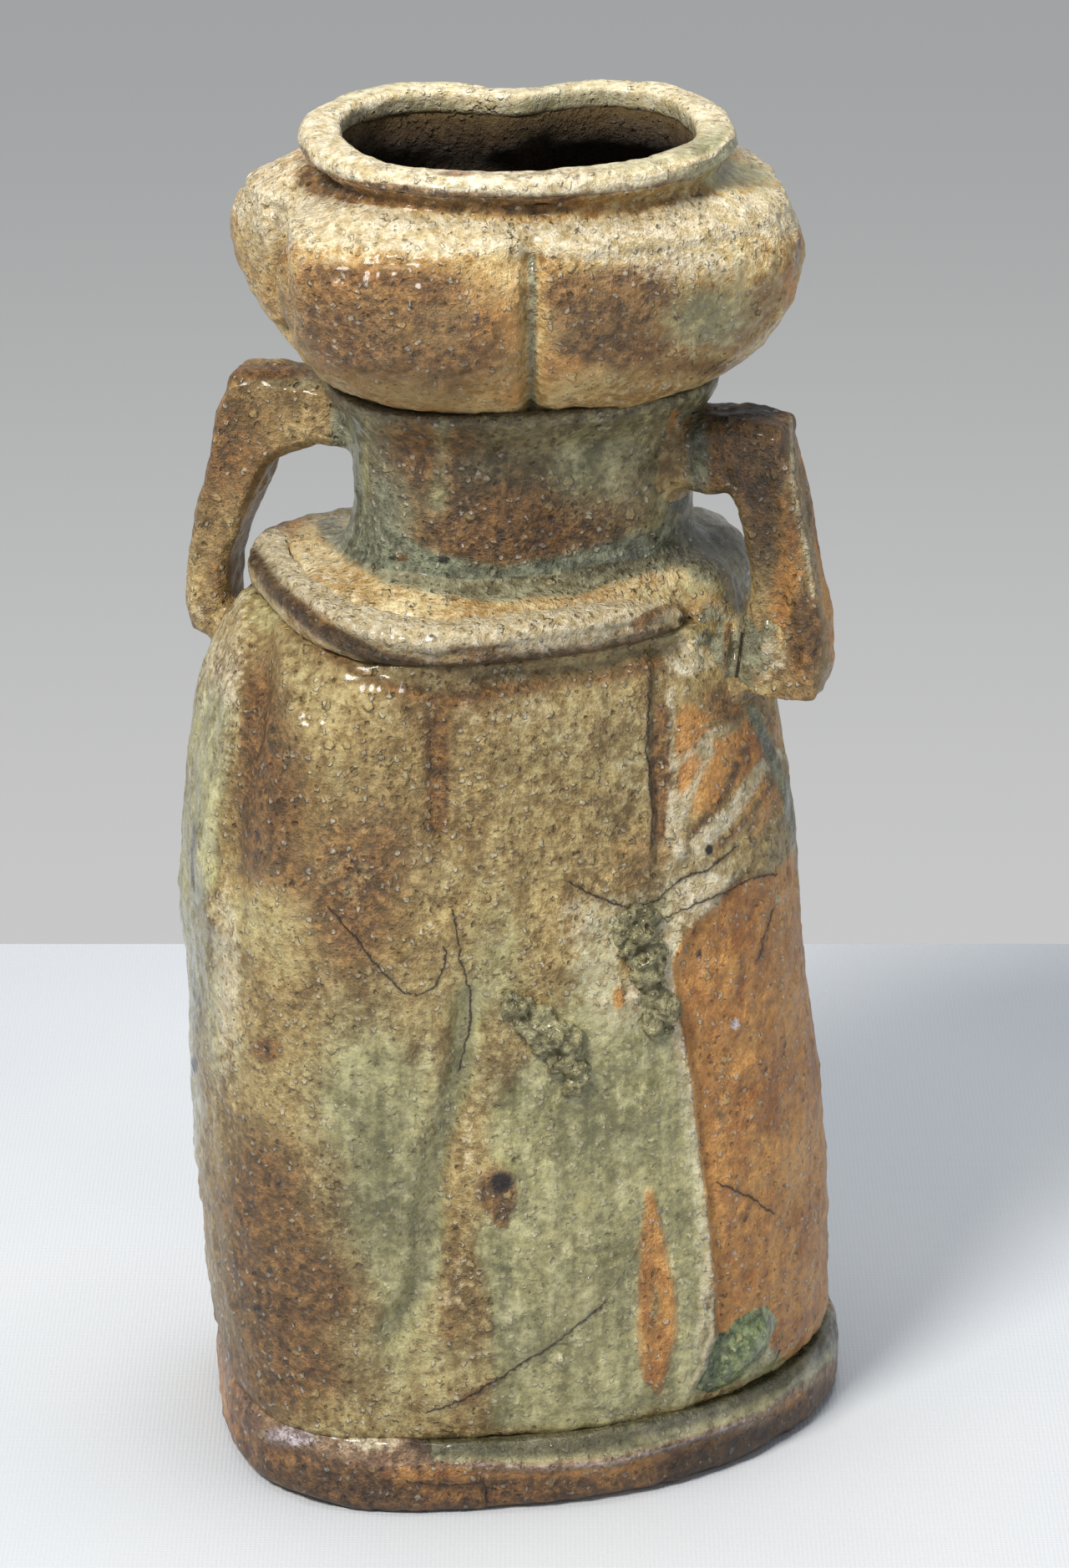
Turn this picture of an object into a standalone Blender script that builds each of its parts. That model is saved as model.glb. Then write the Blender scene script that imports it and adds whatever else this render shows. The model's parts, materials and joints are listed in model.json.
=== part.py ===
"""Lugged flower vase, hand-built stoneware, modelled member by member in metres, +Z up.

The vase stands on a foot slab. A four-sided wall rises from it and is closed by a shoulder
plate with a rolled coil round its edge. A neck, a four-lobed mouth bowl and a thick lip
follow, and two bent slab lugs run from the neck down to the wall. Every member was formed
by itself and luted to the next one while the clay was wet, so each one is a solid of its own.
"""

from math import cos, pi, radians, sin, tau
from typing import NamedTuple

import bmesh
import bpy
import numpy as np

for old in list(bpy.data.objects):
    bpy.data.objects.remove(old, do_unlink=True)


# Driving sizes, in metres

JOINT_GAP = 0.0003  # between two members that touch
CUT_OVERRUN = 0.0040  # how far a member that is cut to fit reaches into its neighbour

FOOT_HALF_WIDTH = 0.0672
FOOT_HALF_DEPTH = 0.0520
FOOT_HEIGHT = 0.0170
FOOT_LOWER_ROUND = 0.0035
FOOT_UPPER_ROUND = 0.0060
FOOT_GROOVE_DEPTH = 0.0028

BODY_HALF_WIDTH = 0.0660
BODY_HALF_DEPTH = 0.0515
BODY_HEIGHT = 0.1655
BODY_WALL = 0.0075

DECK_THICKNESS = 0.0110  # where the neck stands
DECK_EDGE_THICKNESS = 0.0085  # beside the coil
ROLL_HALF_WIDTH = 0.0495  # the outline that the rolled coil reaches
ROLL_HALF_DEPTH = 0.0410
ROLL_WIDTH = 0.0090
ROLL_HEIGHT = 0.0092
ROLL_EDGE_ROUND = 0.0040

NECK_HALF_WIDTH = 0.0345
NECK_HALF_DEPTH = 0.0230
NECK_HEIGHT = 0.0365
NECK_WALL = 0.0065
NECK_FLARE = 0.0024  # how far its foot is smeared out onto the plate
NECK_FLARE_RISE = 0.0060

BOWL_HALF_WIDTH = 0.0578
BOWL_HALF_DEPTH = 0.0435
BOWL_HEIGHT = 0.0450
BOWL_WALL = 0.0060

LIP_HALF_WIDTH = 0.0434
LIP_HALF_DEPTH = 0.0375
LIP_HEIGHT = 0.0060
LIP_WIDTH = 0.0082

LUG_DEPTH = 0.0150
LUG_HEIGHT = 0.0600
LUG_DROP = 0.0140  # how far the foot of a lug hangs below the top of the wall
LUG_EDGE_ROUND = 0.0022
LEFT_LUG_STAND = 0.0080  # from the side of the wall to the lug's outer edge
RIGHT_LUG_STAND = 0.0165
RIGHT_LUG_SET_BACK = 0.0065  # of its root on the neck, behind the rest of the lug

SCAB_THICKNESS = 0.0026
POOL_THICKNESS = 0.0022

CENTRE_ASIDE = 0.0003  # moves the whole vase so that its box is centred on the origin
CENTRE_BACK = -0.0006

AROUND = 60  # facets round every ring
BETWEEN_LEVELS = 2  # spans from one level outline to the next
SHARP_EDGE = 40.0  # degrees, above which an edge isn't shaded smooth
BEARINGS = np.arange(AROUND) * tau / AROUND


# Outlines

class Level(NamedTuple):
    """One level outline, seen from above: a superellipse with four corners of its own."""

    up: float  # share of the member's height
    wide: float  # share of its half width
    deep: float  # share of its half depth
    aside: float  # shift to the right, as a share of its half width
    back: float  # shift away from the viewer, as a share of its half depth
    turn: float  # degrees, anticlockwise from above
    corners: tuple  # squareness of front left, front right, back right and back left


class Dent(NamedTuple):
    """A hollow pressed into an outline: a depth at one bearing, fading to both sides."""

    bearing: float  # degrees round the axis, 0 to the right, 270 to the viewer
    spread: float  # degrees over which it fades
    depth_share: float  # of the outline's radius


FOOT_OUTLINE_SHARES = Level(0.0, 1.000, 1.000, 0.040, 0.030, 9.0, (3.4, 1.8, 2.4, 2.8))

BODY_LEVEL_SHARES = (
    Level(0.045, 1.005, 0.985, 0.020, 0.030, 9.0, (3.2, 1.9, 2.4, 2.8)),
    Level(0.180, 1.010, 1.000, -0.010, 0.030, 9.0, (3.0, 2.0, 2.4, 2.8)),
    Level(0.360, 1.005, 0.990, -0.035, 0.030, 10.0, (3.0, 2.1, 2.4, 2.8)),
    Level(0.540, 0.975, 0.970, -0.070, 0.030, 11.0, (3.1, 2.2, 2.4, 2.8)),
    Level(0.700, 0.950, 0.930, -0.085, 0.030, 13.0, (3.2, 2.3, 2.4, 2.8)),
    Level(0.830, 0.905, 0.875, -0.090, 0.030, 15.0, (3.0, 2.4, 2.4, 2.8)),
    Level(0.930, 0.850, 0.810, -0.075, 0.040, 19.0, (2.8, 2.5, 2.5, 3.2)),
    Level(1.000, 0.760, 0.735, -0.035, 0.050, 22.0, (2.7, 2.5, 2.6, 3.6)),
)

# Two thumb-wide hollows run up the front of the wall: one entry for each of its levels
BODY_DENT_SHARES = (
    (Dent(241.0, 10.0, 0.015),),
    (Dent(249.0, 10.0, 0.042),),
    (Dent(255.0, 9.0, 0.048),),
    (Dent(262.0, 8.0, 0.035),),
    (Dent(259.0, 8.0, 0.012), Dent(310.0, 8.0, 0.022)),
    (Dent(258.0, 8.0, 0.020), Dent(311.5, 7.0, 0.036)),
    (Dent(256.0, 8.0, 0.015), Dent(313.0, 7.0, 0.030)),
    (),
)

ROLL_OUTLINE_SHARES = Level(0.0, 1.000, 1.000, -0.045, 0.055, 22.0, (2.7, 2.3, 2.6, 3.8))

NECK_LEVEL_SHARES = (
    Level(0.000, 1.005, 1.040, -0.005, 0.150, 20.0, (2.2, 3.2, 2.6, 2.6)),
    Level(0.110, 1.000, 1.020, 0.008, 0.140, 20.0, (2.2, 3.1, 2.6, 2.6)),
    Level(0.300, 0.990, 1.000, 0.030, 0.120, 18.0, (2.3, 3.0, 2.6, 2.6)),
    Level(0.650, 0.990, 1.000, 0.030, 0.080, 15.0, (2.5, 3.0, 2.6, 2.6)),
    Level(1.000, 1.030, 1.090, 0.020, 0.060, 14.0, (2.6, 2.8, 2.6, 2.6)),
)

BOWL_LEVEL_SHARES = (
    Level(0.080, 0.750, 0.730, 0.015, 0.015, 15.0, (2.4, 2.5, 2.5, 2.6)),
    Level(0.260, 0.905, 0.890, 0.015, 0.010, 16.0, (2.6, 2.6, 2.5, 2.8)),
    Level(0.500, 0.990, 0.980, 0.005, 0.010, 16.0, (2.7, 2.6, 2.5, 2.9)),
    Level(0.700, 1.000, 0.990, 0.000, 0.010, 15.0, (2.7, 2.6, 2.5, 2.9)),
    Level(0.860, 0.905, 0.900, 0.000, 0.010, 12.0, (2.5, 2.4, 2.5, 2.7)),
    Level(1.000, 0.700, 0.750, 0.005, 0.000, 8.0, (2.2, 2.2, 2.5, 2.5)),
)

# Four hollows part the bowl into its lobes, and run out downwards into the neck
BOWL_DENT_SHARES = (
    Dent(274.0, 7.0, 0.045),
    Dent(196.0, 15.0, 0.190),
    Dent(96.0, 20.0, 0.150),
    Dent(8.0, 16.0, 0.040),
)
BOWL_DENT_FADE_SHARES = (0.10, 0.72, 1.00, 1.00, 1.00, 1.00)  # one for each of its levels

LIP_OUTLINE_SHARES = Level(0.0, 1.000, 1.000, 0.010, 0.000, 6.0, (2.1, 2.1, 2.6, 2.6))
LIP_DENT_SHARES = (Dent(92.0, 22.0, 0.170), Dent(55.0, 18.0, -0.040), Dent(232.0, 16.0, -0.030))


def outline(level, half_width, half_depth, height, dents=(), dent_share=1.0):
    """The points of a level outline, one for each bearing, at the given height."""
    local = BEARINGS - radians(level.turn)
    across = np.cos(local)
    along = np.sin(local)
    front_left, front_right, back_right, back_left = level.corners
    right_corners = np.where(along < 0, front_right, back_right)
    left_corners = np.where(along < 0, front_left, back_left)
    square = np.where(across > 0, right_corners, left_corners)
    wide = half_width * level.wide
    deep = half_depth * level.deep
    reach = (np.abs(across / wide) ** square + np.abs(along / deep) ** square) ** (-1 / square)
    for dent in dents:
        away = (BEARINGS - radians(dent.bearing) + pi) % tau - pi
        fade = np.exp(-((away / radians(dent.spread)) ** 2))
        reach = reach * (1 - dent_share * dent.depth_share * fade)
    x = reach * np.cos(BEARINGS) + half_width * level.aside + CENTRE_ASIDE
    y = reach * np.sin(BEARINGS) + half_depth * level.back + CENTRE_BACK
    return np.stack([x, y, np.full_like(x, height)], axis=1)


def inward(ring, distance):
    """The ring moved towards its own middle, level, by the same distance at every point."""
    middle = ring.mean(axis=0)
    arms = ring - middle
    lengths = np.linalg.norm(arms[:, :2], axis=1, keepdims=True)
    return ring - arms / lengths * distance * np.array([1.0, 1.0, 0.0])


def raised(ring, height):
    """The same outline at another height."""
    moved = ring.copy()
    moved[:, 2] = height
    return moved


def smooth_rings(rings):
    """Rings in between, on a smooth curve through the given ones."""
    rings = np.asarray(rings)
    padded = np.concatenate([2 * rings[:1] - rings[1:2], rings, 2 * rings[-1:] - rings[-2:-1]])
    made = []
    for index in range(1, len(padded) - 2):
        before, start, end, after = padded[index - 1:index + 3]
        slope = (end - before) / 2
        next_slope = (after - start) / 2
        for step in range(BETWEEN_LEVELS):
            t = step / BETWEEN_LEVELS
            bend = 3 * (end - start) - 2 * slope - next_slope
            twist = 2 * (start - end) + slope + next_slope
            made.append(start + slope * t + bend * t ** 2 + twist * t ** 3)
    made.append(rings[-1])
    return np.array(made)


def wall_inside(rings, wall):
    """The inner face of a wall: each ring offset square to the profile, level at both ends."""
    slopes = np.gradient(rings, axis=0)
    middles = rings.mean(axis=1, keepdims=True)
    arms = (rings - middles)[:, :, :2]
    arms = arms / np.linalg.norm(arms, axis=2, keepdims=True)
    outward = (slopes[:, :, :2] * arms).sum(axis=2)
    rise = slopes[:, :, 2]
    outward[0] = outward[-1] = 0
    length = np.hypot(outward, rise)
    level_part = (rise / length)[:, :, None] * arms
    drop_part = -outward / length
    return rings - wall * np.concatenate([level_part, drop_part[:, :, None]], axis=2)


# Mesh building

def collection(name):
    made = bpy.data.collections.new(name)
    bpy.context.scene.collection.children.link(made)
    return made


VASE = collection("lugged_flower_vase")
CUTTERS = collection("cutters")


def material(name, colour, roughness):
    made = bpy.data.materials.new(name)
    made.use_nodes = True
    shader = made.node_tree.nodes["Principled BSDF"]
    shader.inputs["Base Color"].default_value = (*colour, 1.0)
    shader.inputs["Roughness"].default_value = roughness
    shader.inputs["Metallic"].default_value = 0.0
    made.diffuse_color = (*colour, 1.0)
    return made


def add_object(name, mesh_builder, finish, group=None):
    """A named object from a bmesh, with its own material, smooth on its round faces."""
    bmesh.ops.recalc_face_normals(mesh_builder, faces=mesh_builder.faces)
    mesh = bpy.data.meshes.new(name)
    mesh_builder.to_mesh(mesh)
    mesh_builder.free()
    made = bpy.data.objects.new(name, mesh)
    (group or VASE).objects.link(made)
    if finish:
        mesh.materials.append(finish)
    mesh.shade_smooth()
    mesh.set_sharp_from_angle(angle=radians(SHARP_EDGE))
    return made


def loft(rings, closed_profile=False):
    """A skin over rings of equal count. The profile is closed, or its two ends are capped."""
    built = bmesh.new()
    rows = [[built.verts.new(point) for point in ring] for ring in rings]
    spans = len(rows) if closed_profile else len(rows) - 1
    for low in range(spans):
        lower = rows[low]
        upper = rows[(low + 1) % len(rows)]
        for side in range(len(lower)):
            beside = (side + 1) % len(lower)
            built.faces.new((lower[side], lower[beside], upper[beside], upper[side]))
    if not closed_profile:
        built.faces.new(reversed(rows[0]))
        built.faces.new(rows[-1])
    return built


def tube(outer, inner):
    """A wall with flat ends: its outer rings upwards, then its inner rings downwards."""
    return loft([*outer, *inner[::-1]], closed_profile=True)


# Heights of the joints

BODY_FLOOR = FOOT_HEIGHT + JOINT_GAP
BODY_TOP = BODY_FLOOR + BODY_HEIGHT
DECK_FLOOR = BODY_TOP + JOINT_GAP
DECK_EDGE_TOP = DECK_FLOOR + DECK_EDGE_THICKNESS
DECK_TOP = DECK_FLOOR + DECK_THICKNESS
NECK_FLOOR = DECK_TOP + JOINT_GAP
NECK_TOP = NECK_FLOOR + NECK_HEIGHT
BOWL_FLOOR = NECK_TOP + JOINT_GAP
BOWL_TOP = BOWL_FLOOR + BOWL_HEIGHT
LIP_FLOOR = BOWL_TOP + JOINT_GAP
LIP_TOP = LIP_FLOOR + LIP_HEIGHT


# Foot slab: a thick pad with a rounded band round it and a groove under the wall

FOOT_ROUND_STEPS = 4


def foot_rings():
    full = outline(FOOT_OUTLINE_SHARES, FOOT_HALF_WIDTH, FOOT_HALF_DEPTH, 0.0)
    angles = [step / FOOT_ROUND_STEPS * pi / 2 for step in range(FOOT_ROUND_STEPS + 1)]
    crown = FOOT_HEIGHT - FOOT_UPPER_ROUND
    rings = []
    for angle in angles:
        ring = inward(full, FOOT_LOWER_ROUND * (1 - sin(angle)))
        rings.append(raised(ring, FOOT_LOWER_ROUND * (1 - cos(angle))))
    for angle in angles:
        ring = inward(full, FOOT_GROOVE_DEPTH * (1 - cos(angle)))
        rings.append(raised(ring, crown + FOOT_UPPER_ROUND * sin(angle)))
    return rings


FOOT_RINGS = foot_rings()


# Body wall: four uneven sides that lean in towards the shoulder

def body_outer():
    rings = [raised(FOOT_RINGS[-1], BODY_FLOOR)]
    for level, dents in zip(BODY_LEVEL_SHARES, BODY_DENT_SHARES):
        height = BODY_FLOOR + BODY_HEIGHT * level.up
        rings.append(outline(level, BODY_HALF_WIDTH, BODY_HALF_DEPTH, height, dents=dents))
    return smooth_rings(rings)


BODY_OUTER = body_outer()


# Neck, bowl and lip

def neck_outer():
    rings = []
    for level in NECK_LEVEL_SHARES:
        height = NECK_FLOOR + NECK_HEIGHT * level.up
        rings.append(outline(level, NECK_HALF_WIDTH, NECK_HALF_DEPTH, height))
    return smooth_rings(rings)


def flared(rings):
    """The neck's outside, spread at its foot where its clay was smeared onto the plate."""
    made = []
    for ring in rings:
        share = max(1 - (ring[0, 2] - NECK_FLOOR) / NECK_FLARE_RISE, 0.0)
        made.append(inward(ring, -NECK_FLARE * share * share))
    return np.array(made)


NECK_OUTER = neck_outer()
NECK_FLARED = flared(NECK_OUTER)


def bowl_outer():
    rings = [raised(NECK_OUTER[-1], BOWL_FLOOR)]
    for level, fade in zip(BOWL_LEVEL_SHARES, BOWL_DENT_FADE_SHARES):
        height = BOWL_FLOOR + BOWL_HEIGHT * level.up
        rings.append(outline(level, BOWL_HALF_WIDTH, BOWL_HALF_DEPTH, height, BOWL_DENT_SHARES, fade))
    return smooth_rings(rings)


BOWL_OUTER = bowl_outer()

LIP_ARC_START = -35.0  # degrees above level, on the outer side
LIP_ARC_SWEEP = 250.0
LIP_ARC_STEPS = 8


def lip_rings():
    """The lip's closed profile: out from the bowl's rim, over a fat round edge and back down."""
    seat = raised(BOWL_OUTER[-1], LIP_FLOOR)
    seat_inside = inward(seat, BOWL_WALL)
    full = outline(LIP_OUTLINE_SHARES, LIP_HALF_WIDTH, LIP_HALF_DEPTH, LIP_FLOOR, LIP_DENT_SHARES)
    middle = inward(full, LIP_WIDTH / 2)
    arms = (full - middle) / (LIP_WIDTH / 2)
    crown = LIP_FLOOR + LIP_HEIGHT / 2
    rings = [seat]
    for step in range(LIP_ARC_STEPS + 1):
        angle = radians(LIP_ARC_START + LIP_ARC_SWEEP * step / LIP_ARC_STEPS)
        ring = middle + arms * (LIP_WIDTH / 2) * cos(angle)
        rings.append(raised(ring, crown + LIP_HEIGHT / 2 * sin(angle)))
    rings.append(seat_inside)
    return rings


# Shoulder plate and its rolled coil

ROLL_START = 330.0  # bearing of the torn end, beside the right lug
ROLL_SWEEP = 318.0  # degrees, clockwise from there round the front, the left and the back
ROLL_TAPER = 12.0  # degrees over which the plate's step runs out past each end
ROLL_END_SHARE = 0.55  # how thin the coil is at its two ends
ROLL_END_STEPS = 3  # sections over which it thickens
ROLL_ARC_STEPS = 3  # spans in each of its two rounded edges


def roll_share(bearings):
    """How deep the plate's step is at each bearing: 1 along the coil, 0 where there is none."""
    along = (radians(ROLL_START + ROLL_TAPER) - bearings) % tau
    ramp = np.minimum(along, radians(ROLL_SWEEP + 2 * ROLL_TAPER) - along) / radians(ROLL_TAPER)
    return np.clip(ramp, 0.0, 1.0)


def deck_edge(height):
    return outline(ROLL_OUTLINE_SHARES, ROLL_HALF_WIDTH, ROLL_HALF_DEPTH, height)


def deck_rings():
    edge = deck_edge(DECK_FLOOR)
    share = roll_share(BEARINGS)[:, None]
    seat = inward(edge, ROLL_WIDTH + JOINT_GAP)
    side = seat * share + inward(edge, ROLL_EDGE_ROUND / 2) * (1 - share)
    upper = seat * share + inward(edge, ROLL_EDGE_ROUND) * (1 - share)
    bore = inward(raised(NECK_OUTER[0], DECK_FLOOR), NECK_WALL)
    bottom = seat * share + raised(BODY_OUTER[-1], DECK_FLOOR) * (1 - share)
    middle = DECK_FLOOR + DECK_EDGE_THICKNESS / 2
    neck_foot = raised(NECK_FLARED[0], DECK_TOP)
    lower = [bore, bottom, raised(side, middle), raised(upper, DECK_EDGE_TOP)]
    return [*lower, neck_foot, raised(bore, DECK_TOP)]


def roll_sections():
    """The coil's section at each bearing: a flat inner side and a fat rounded outer one."""
    edge = deck_edge(DECK_FLOOR)
    seat = inward(edge, ROLL_WIDTH)
    outward = (edge - seat) / ROLL_WIDTH
    up = np.array([0.0, 0.0, 1.0])
    angles = [step / ROLL_ARC_STEPS * pi / 2 for step in range(ROLL_ARC_STEPS + 1)]
    count = round(AROUND * radians(ROLL_SWEEP) / tau)
    first = round(AROUND * radians(ROLL_START) / tau)
    sections = []
    for step in range(count + 1):
        side = (first - step) % AROUND
        grown = min(step, count - step, ROLL_END_STEPS) / ROLL_END_STEPS
        full = ROLL_END_SHARE + (1 - ROLL_END_SHARE) * grown
        wide = ROLL_WIDTH * full
        tall = ROLL_HEIGHT * full
        fillet = ROLL_EDGE_ROUND * full
        lower = [(wide - fillet * (1 - sin(angle)), fillet * (1 - cos(angle))) for angle in angles]
        upper = [(wide - fillet * (1 - cos(angle)), tall - fillet * (1 - sin(angle))) for angle in angles]
        profile = [(0.0, 0.0), *lower, *upper, (0.0, tall)]
        sections.append([seat[side] + outward[side] * out + up * rise for out, rise in profile])
    return sections


# Lugs: bent slabs from the side of the neck, out, and down to the side of the wall

LUG_TURN = -16.0  # degrees, the right lug stands nearer the viewer than the left one
LUG_TIP_OUT = 1.4  # how far out a root's set back has run out, as a rung counts it


class Rung(NamedTuple):
    """One cross cut of a lug. Out is -1 inside the neck, 0 at its side, 1 at the side of the
    wall and 2 at the lug's outermost edge. Up is 0 at the foot of the lug and 1 at its top."""

    outer_out: float
    outer_up: float
    inner_out: float
    inner_up: float


RIGHT_RUNG_SHARES = (
    Rung(-1.00, 0.930, -1.00, 0.670),
    Rung(0.60, 0.955, 0.45, 0.680),
    Rung(1.10, 0.970, 0.72, 0.690),
    Rung(1.42, 0.955, 0.84, 0.650),
    Rung(1.46, 0.880, 0.90, 0.580),
    Rung(1.62, 0.710, 0.97, 0.480),
    Rung(1.80, 0.470, 1.03, 0.350),
    Rung(1.94, 0.290, 0.95, 0.240),
    Rung(2.00, 0.110, 0.90, 0.060),
    Rung(1.90, 0.010, 0.95, 0.000),
)

LEFT_RUNG_SHARES = (
    Rung(-1.00, 0.960, -1.00, 0.740),
    Rung(0.30, 0.975, 0.30, 0.750),
    Rung(0.66, 0.985, 0.54, 0.700),
    Rung(0.90, 0.975, 0.66, 0.640),
    Rung(0.98, 0.860, 0.74, 0.540),
    Rung(1.20, 0.680, 0.86, 0.400),
    Rung(1.66, 0.460, 0.93, 0.290),
    Rung(1.95, 0.240, 0.94, 0.180),
    Rung(1.90, 0.120, 0.94, 0.080),
    Rung(1.70, 0.030, 0.94, 0.000),
)


def reach_at(rings, height, bearing):
    """How far a member stands out from the axis at one height and bearing."""
    heights = rings[:, 0, 2]
    at = float(np.interp(height, heights, np.arange(len(heights))))
    low = min(int(at), len(rings) - 2)
    ring = rings[low] + (rings[low + 1] - rings[low]) * (at - low)
    bearings = np.arctan2(ring[:, 1], ring[:, 0])
    order = np.argsort(bearings)
    return float(np.interp(bearing, bearings[order], np.hypot(ring[:, 0], ring[:, 1])[order], period=tau))


def lug_sections(rungs, side, stand, set_back=0.0):
    """The lug's sections, each an eight-sided cut with its four long edges taken off."""
    foot = BODY_TOP - LUG_DROP
    bearing = radians(LUG_TURN) + (0.0 if side > 0 else pi)
    neck_side = reach_at(NECK_OUTER, NECK_FLOOR + NECK_HEIGHT / 2, bearing)
    wall_side = reach_at(BODY_OUTER, foot, bearing)
    turn = radians(LUG_TURN)

    def place(out, up, depth):
        arm = neck_side + (wall_side - neck_side) * min(max(out, 0.0), 1.0)
        arm += stand * max(out - 1.0, 0.0) + CUT_OVERRUN * min(out, 0.0)
        arm *= side
        depth += set_back * max(1 - max(out, 0.0) / LUG_TIP_OUT, 0.0)
        return np.array([
            arm * cos(turn) - depth * sin(turn) + CENTRE_ASIDE,
            arm * sin(turn) + depth * cos(turn) + CENTRE_BACK,
            foot + LUG_HEIGHT * up,
        ])

    half = LUG_DEPTH / 2
    sections = []
    for rung in rungs:
        section = []
        for face in (-1, 1):
            outer = place(rung.outer_out, rung.outer_up, face * half)
            inner = place(rung.inner_out, rung.inner_up, face * half)
            across = (inner - outer) / np.linalg.norm(inner - outer)
            outer_edge = place(rung.outer_out, rung.outer_up, face * (half - LUG_EDGE_ROUND))
            inner_edge = place(rung.inner_out, rung.inner_up, face * (half - LUG_EDGE_ROUND))
            cut_off = across * LUG_EDGE_ROUND
            corners = [outer_edge, outer + cut_off, inner - cut_off, inner_edge]
            section += corners[::-face]
        sections.append(section)
    return sections


# Grit scabs and the glass pool: low crusts that lie on the wall

class Crust(NamedTuple):
    """A crust's station on the wall: bearing in degrees, then shares of the wall's height,
    of the crust's width and of its thickness."""

    bearing: float
    up_share: float
    wide_share: float
    thick_share: float


UPPER_SCAB_WIDTH = 0.0085
LOWER_SCAB_WIDTH = 0.0075
POOL_WIDTH = 0.0100

CRUST_SPAN_SHARES = (-1.0, -0.6, 0.0, 0.6, 1.0)  # places across a crust
CRUST_EDGE_DROP_SHARE = 0.75  # how much thinner it is at its edges

UPPER_SCAB_SHARES = (
    Crust(304.0, 0.690, 0.50, 0.35),
    Crust(305.0, 0.665, 1.00, 0.90),
    Crust(306.5, 0.630, 0.75, 1.00),
    Crust(307.5, 0.590, 0.50, 0.75),
    Crust(308.5, 0.555, 0.80, 1.00),
    Crust(309.0, 0.525, 0.30, 0.35),
)

LOWER_SCAB_SHARES = (
    Crust(273.0, 0.590, 0.45, 0.35),
    Crust(276.5, 0.580, 0.70, 0.80),
    Crust(281.0, 0.555, 0.85, 1.00),
    Crust(285.5, 0.530, 1.00, 0.95),
    Crust(288.0, 0.495, 0.80, 0.85),
    Crust(288.0, 0.465, 0.30, 0.35),
)

POOL_SHARES = (
    Crust(317.0, 0.020, 0.45, 0.35),
    Crust(321.0, 0.045, 0.90, 0.90),
    Crust(326.0, 0.065, 1.00, 1.00),
    Crust(331.0, 0.085, 0.50, 0.40),
)


def wall_point(bearing, height):
    """A point of the wall's outer face, read between its rings and its facets."""
    heights = BODY_OUTER[:, 0, 2]
    at = float(np.interp(height, heights, np.arange(len(heights))))
    low = min(int(at), len(BODY_OUTER) - 2)
    around = (bearing % tau) / tau * AROUND
    side = int(around) % AROUND
    beside = (side + 1) % AROUND
    part = around - int(around)
    lower = BODY_OUTER[low, side] * (1 - part) + BODY_OUTER[low, beside] * part
    upper = BODY_OUTER[low + 1, side] * (1 - part) + BODY_OUTER[low + 1, beside] * part
    return lower + (upper - lower) * (at - low)


def crust_sections(stations, width, thickness):
    """The crust's cuts along its length, each a low mound on a base that follows the wall."""
    sections = []
    places = []
    for station in stations:
        places.append((radians(station.bearing), BODY_FLOOR + BODY_HEIGHT * station.up_share))
    for index, station in enumerate(stations):
        bearing, height = places[index]
        before = wall_point(*places[max(index - 1, 0)])
        after = wall_point(*places[min(index + 1, len(places) - 1)])
        here = wall_point(bearing, height)
        arm = np.hypot(here[0], here[1])
        outward = np.array([here[0], here[1], 0.0]) / arm
        along = (after - before) / np.linalg.norm(after - before)
        across = np.cross(outward, along)
        sideways = np.array([-outward[1], outward[0], 0.0])
        base = []
        crown = []
        for span in CRUST_SPAN_SHARES:
            move = across * span * station.wide_share * width / 2
            spot = wall_point(bearing + float(move @ sideways) / arm, height + move[2])
            lift = thickness * station.thick_share * (1 - CRUST_EDGE_DROP_SHARE * span * span)
            base.append(spot + outward * 2 * JOINT_GAP)
            crown.append(spot + outward * (2 * JOINT_GAP + lift))
        sections.append(base + crown[::-1])
    return sections


def cutter(name, rings):
    """A member's outside, larger by one joint gap, that another member is cut by."""
    made = add_object(name, loft(wall_inside(np.asarray(rings), -JOINT_GAP)), None, CUTTERS)
    made.hide_render = True
    made.display_type = "WIRE"
    return made


def cut(piece, cutters):
    for tool in cutters:
        step = piece.modifiers.new(f"cut by {tool.name}", "BOOLEAN")
        step.operation = "DIFFERENCE"
        step.solver = "EXACT"
        step.object = tool


def build_vessel():
    """The foot, the wall, the shoulder, the neck, the bowl and the lip, from the ground up."""
    foot_clay = material("foot_clay", (0.30, 0.16, 0.09), 0.75)
    add_object("foot_slab", loft(FOOT_RINGS), foot_clay)
    wall_clay = material("wall_clay", (0.36, 0.27, 0.13), 0.55)
    add_object("body_wall", tube(BODY_OUTER, wall_inside(BODY_OUTER, BODY_WALL)), wall_clay)
    deck_clay = material("deck_clay", (0.30, 0.31, 0.22), 0.45)
    add_object("shoulder_deck", loft(deck_rings(), closed_profile=True), deck_clay)
    roll_clay = material("roll_clay", (0.55, 0.38, 0.18), 0.60)
    add_object("shoulder_roll", loft(roll_sections()), roll_clay)
    neck_clay = material("neck_clay", (0.22, 0.19, 0.12), 0.55)
    add_object("neck_wall", tube(NECK_FLARED, wall_inside(NECK_OUTER, NECK_WALL)), neck_clay)
    bowl_clay = material("bowl_clay", (0.45, 0.34, 0.20), 0.60)
    add_object("mouth_bowl", tube(BOWL_OUTER, wall_inside(BOWL_OUTER, BOWL_WALL)), bowl_clay)
    lip_clay = material("lip_clay", (0.58, 0.52, 0.40), 0.50)
    add_object("lip_ring", loft(lip_rings(), closed_profile=True), lip_clay)


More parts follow.
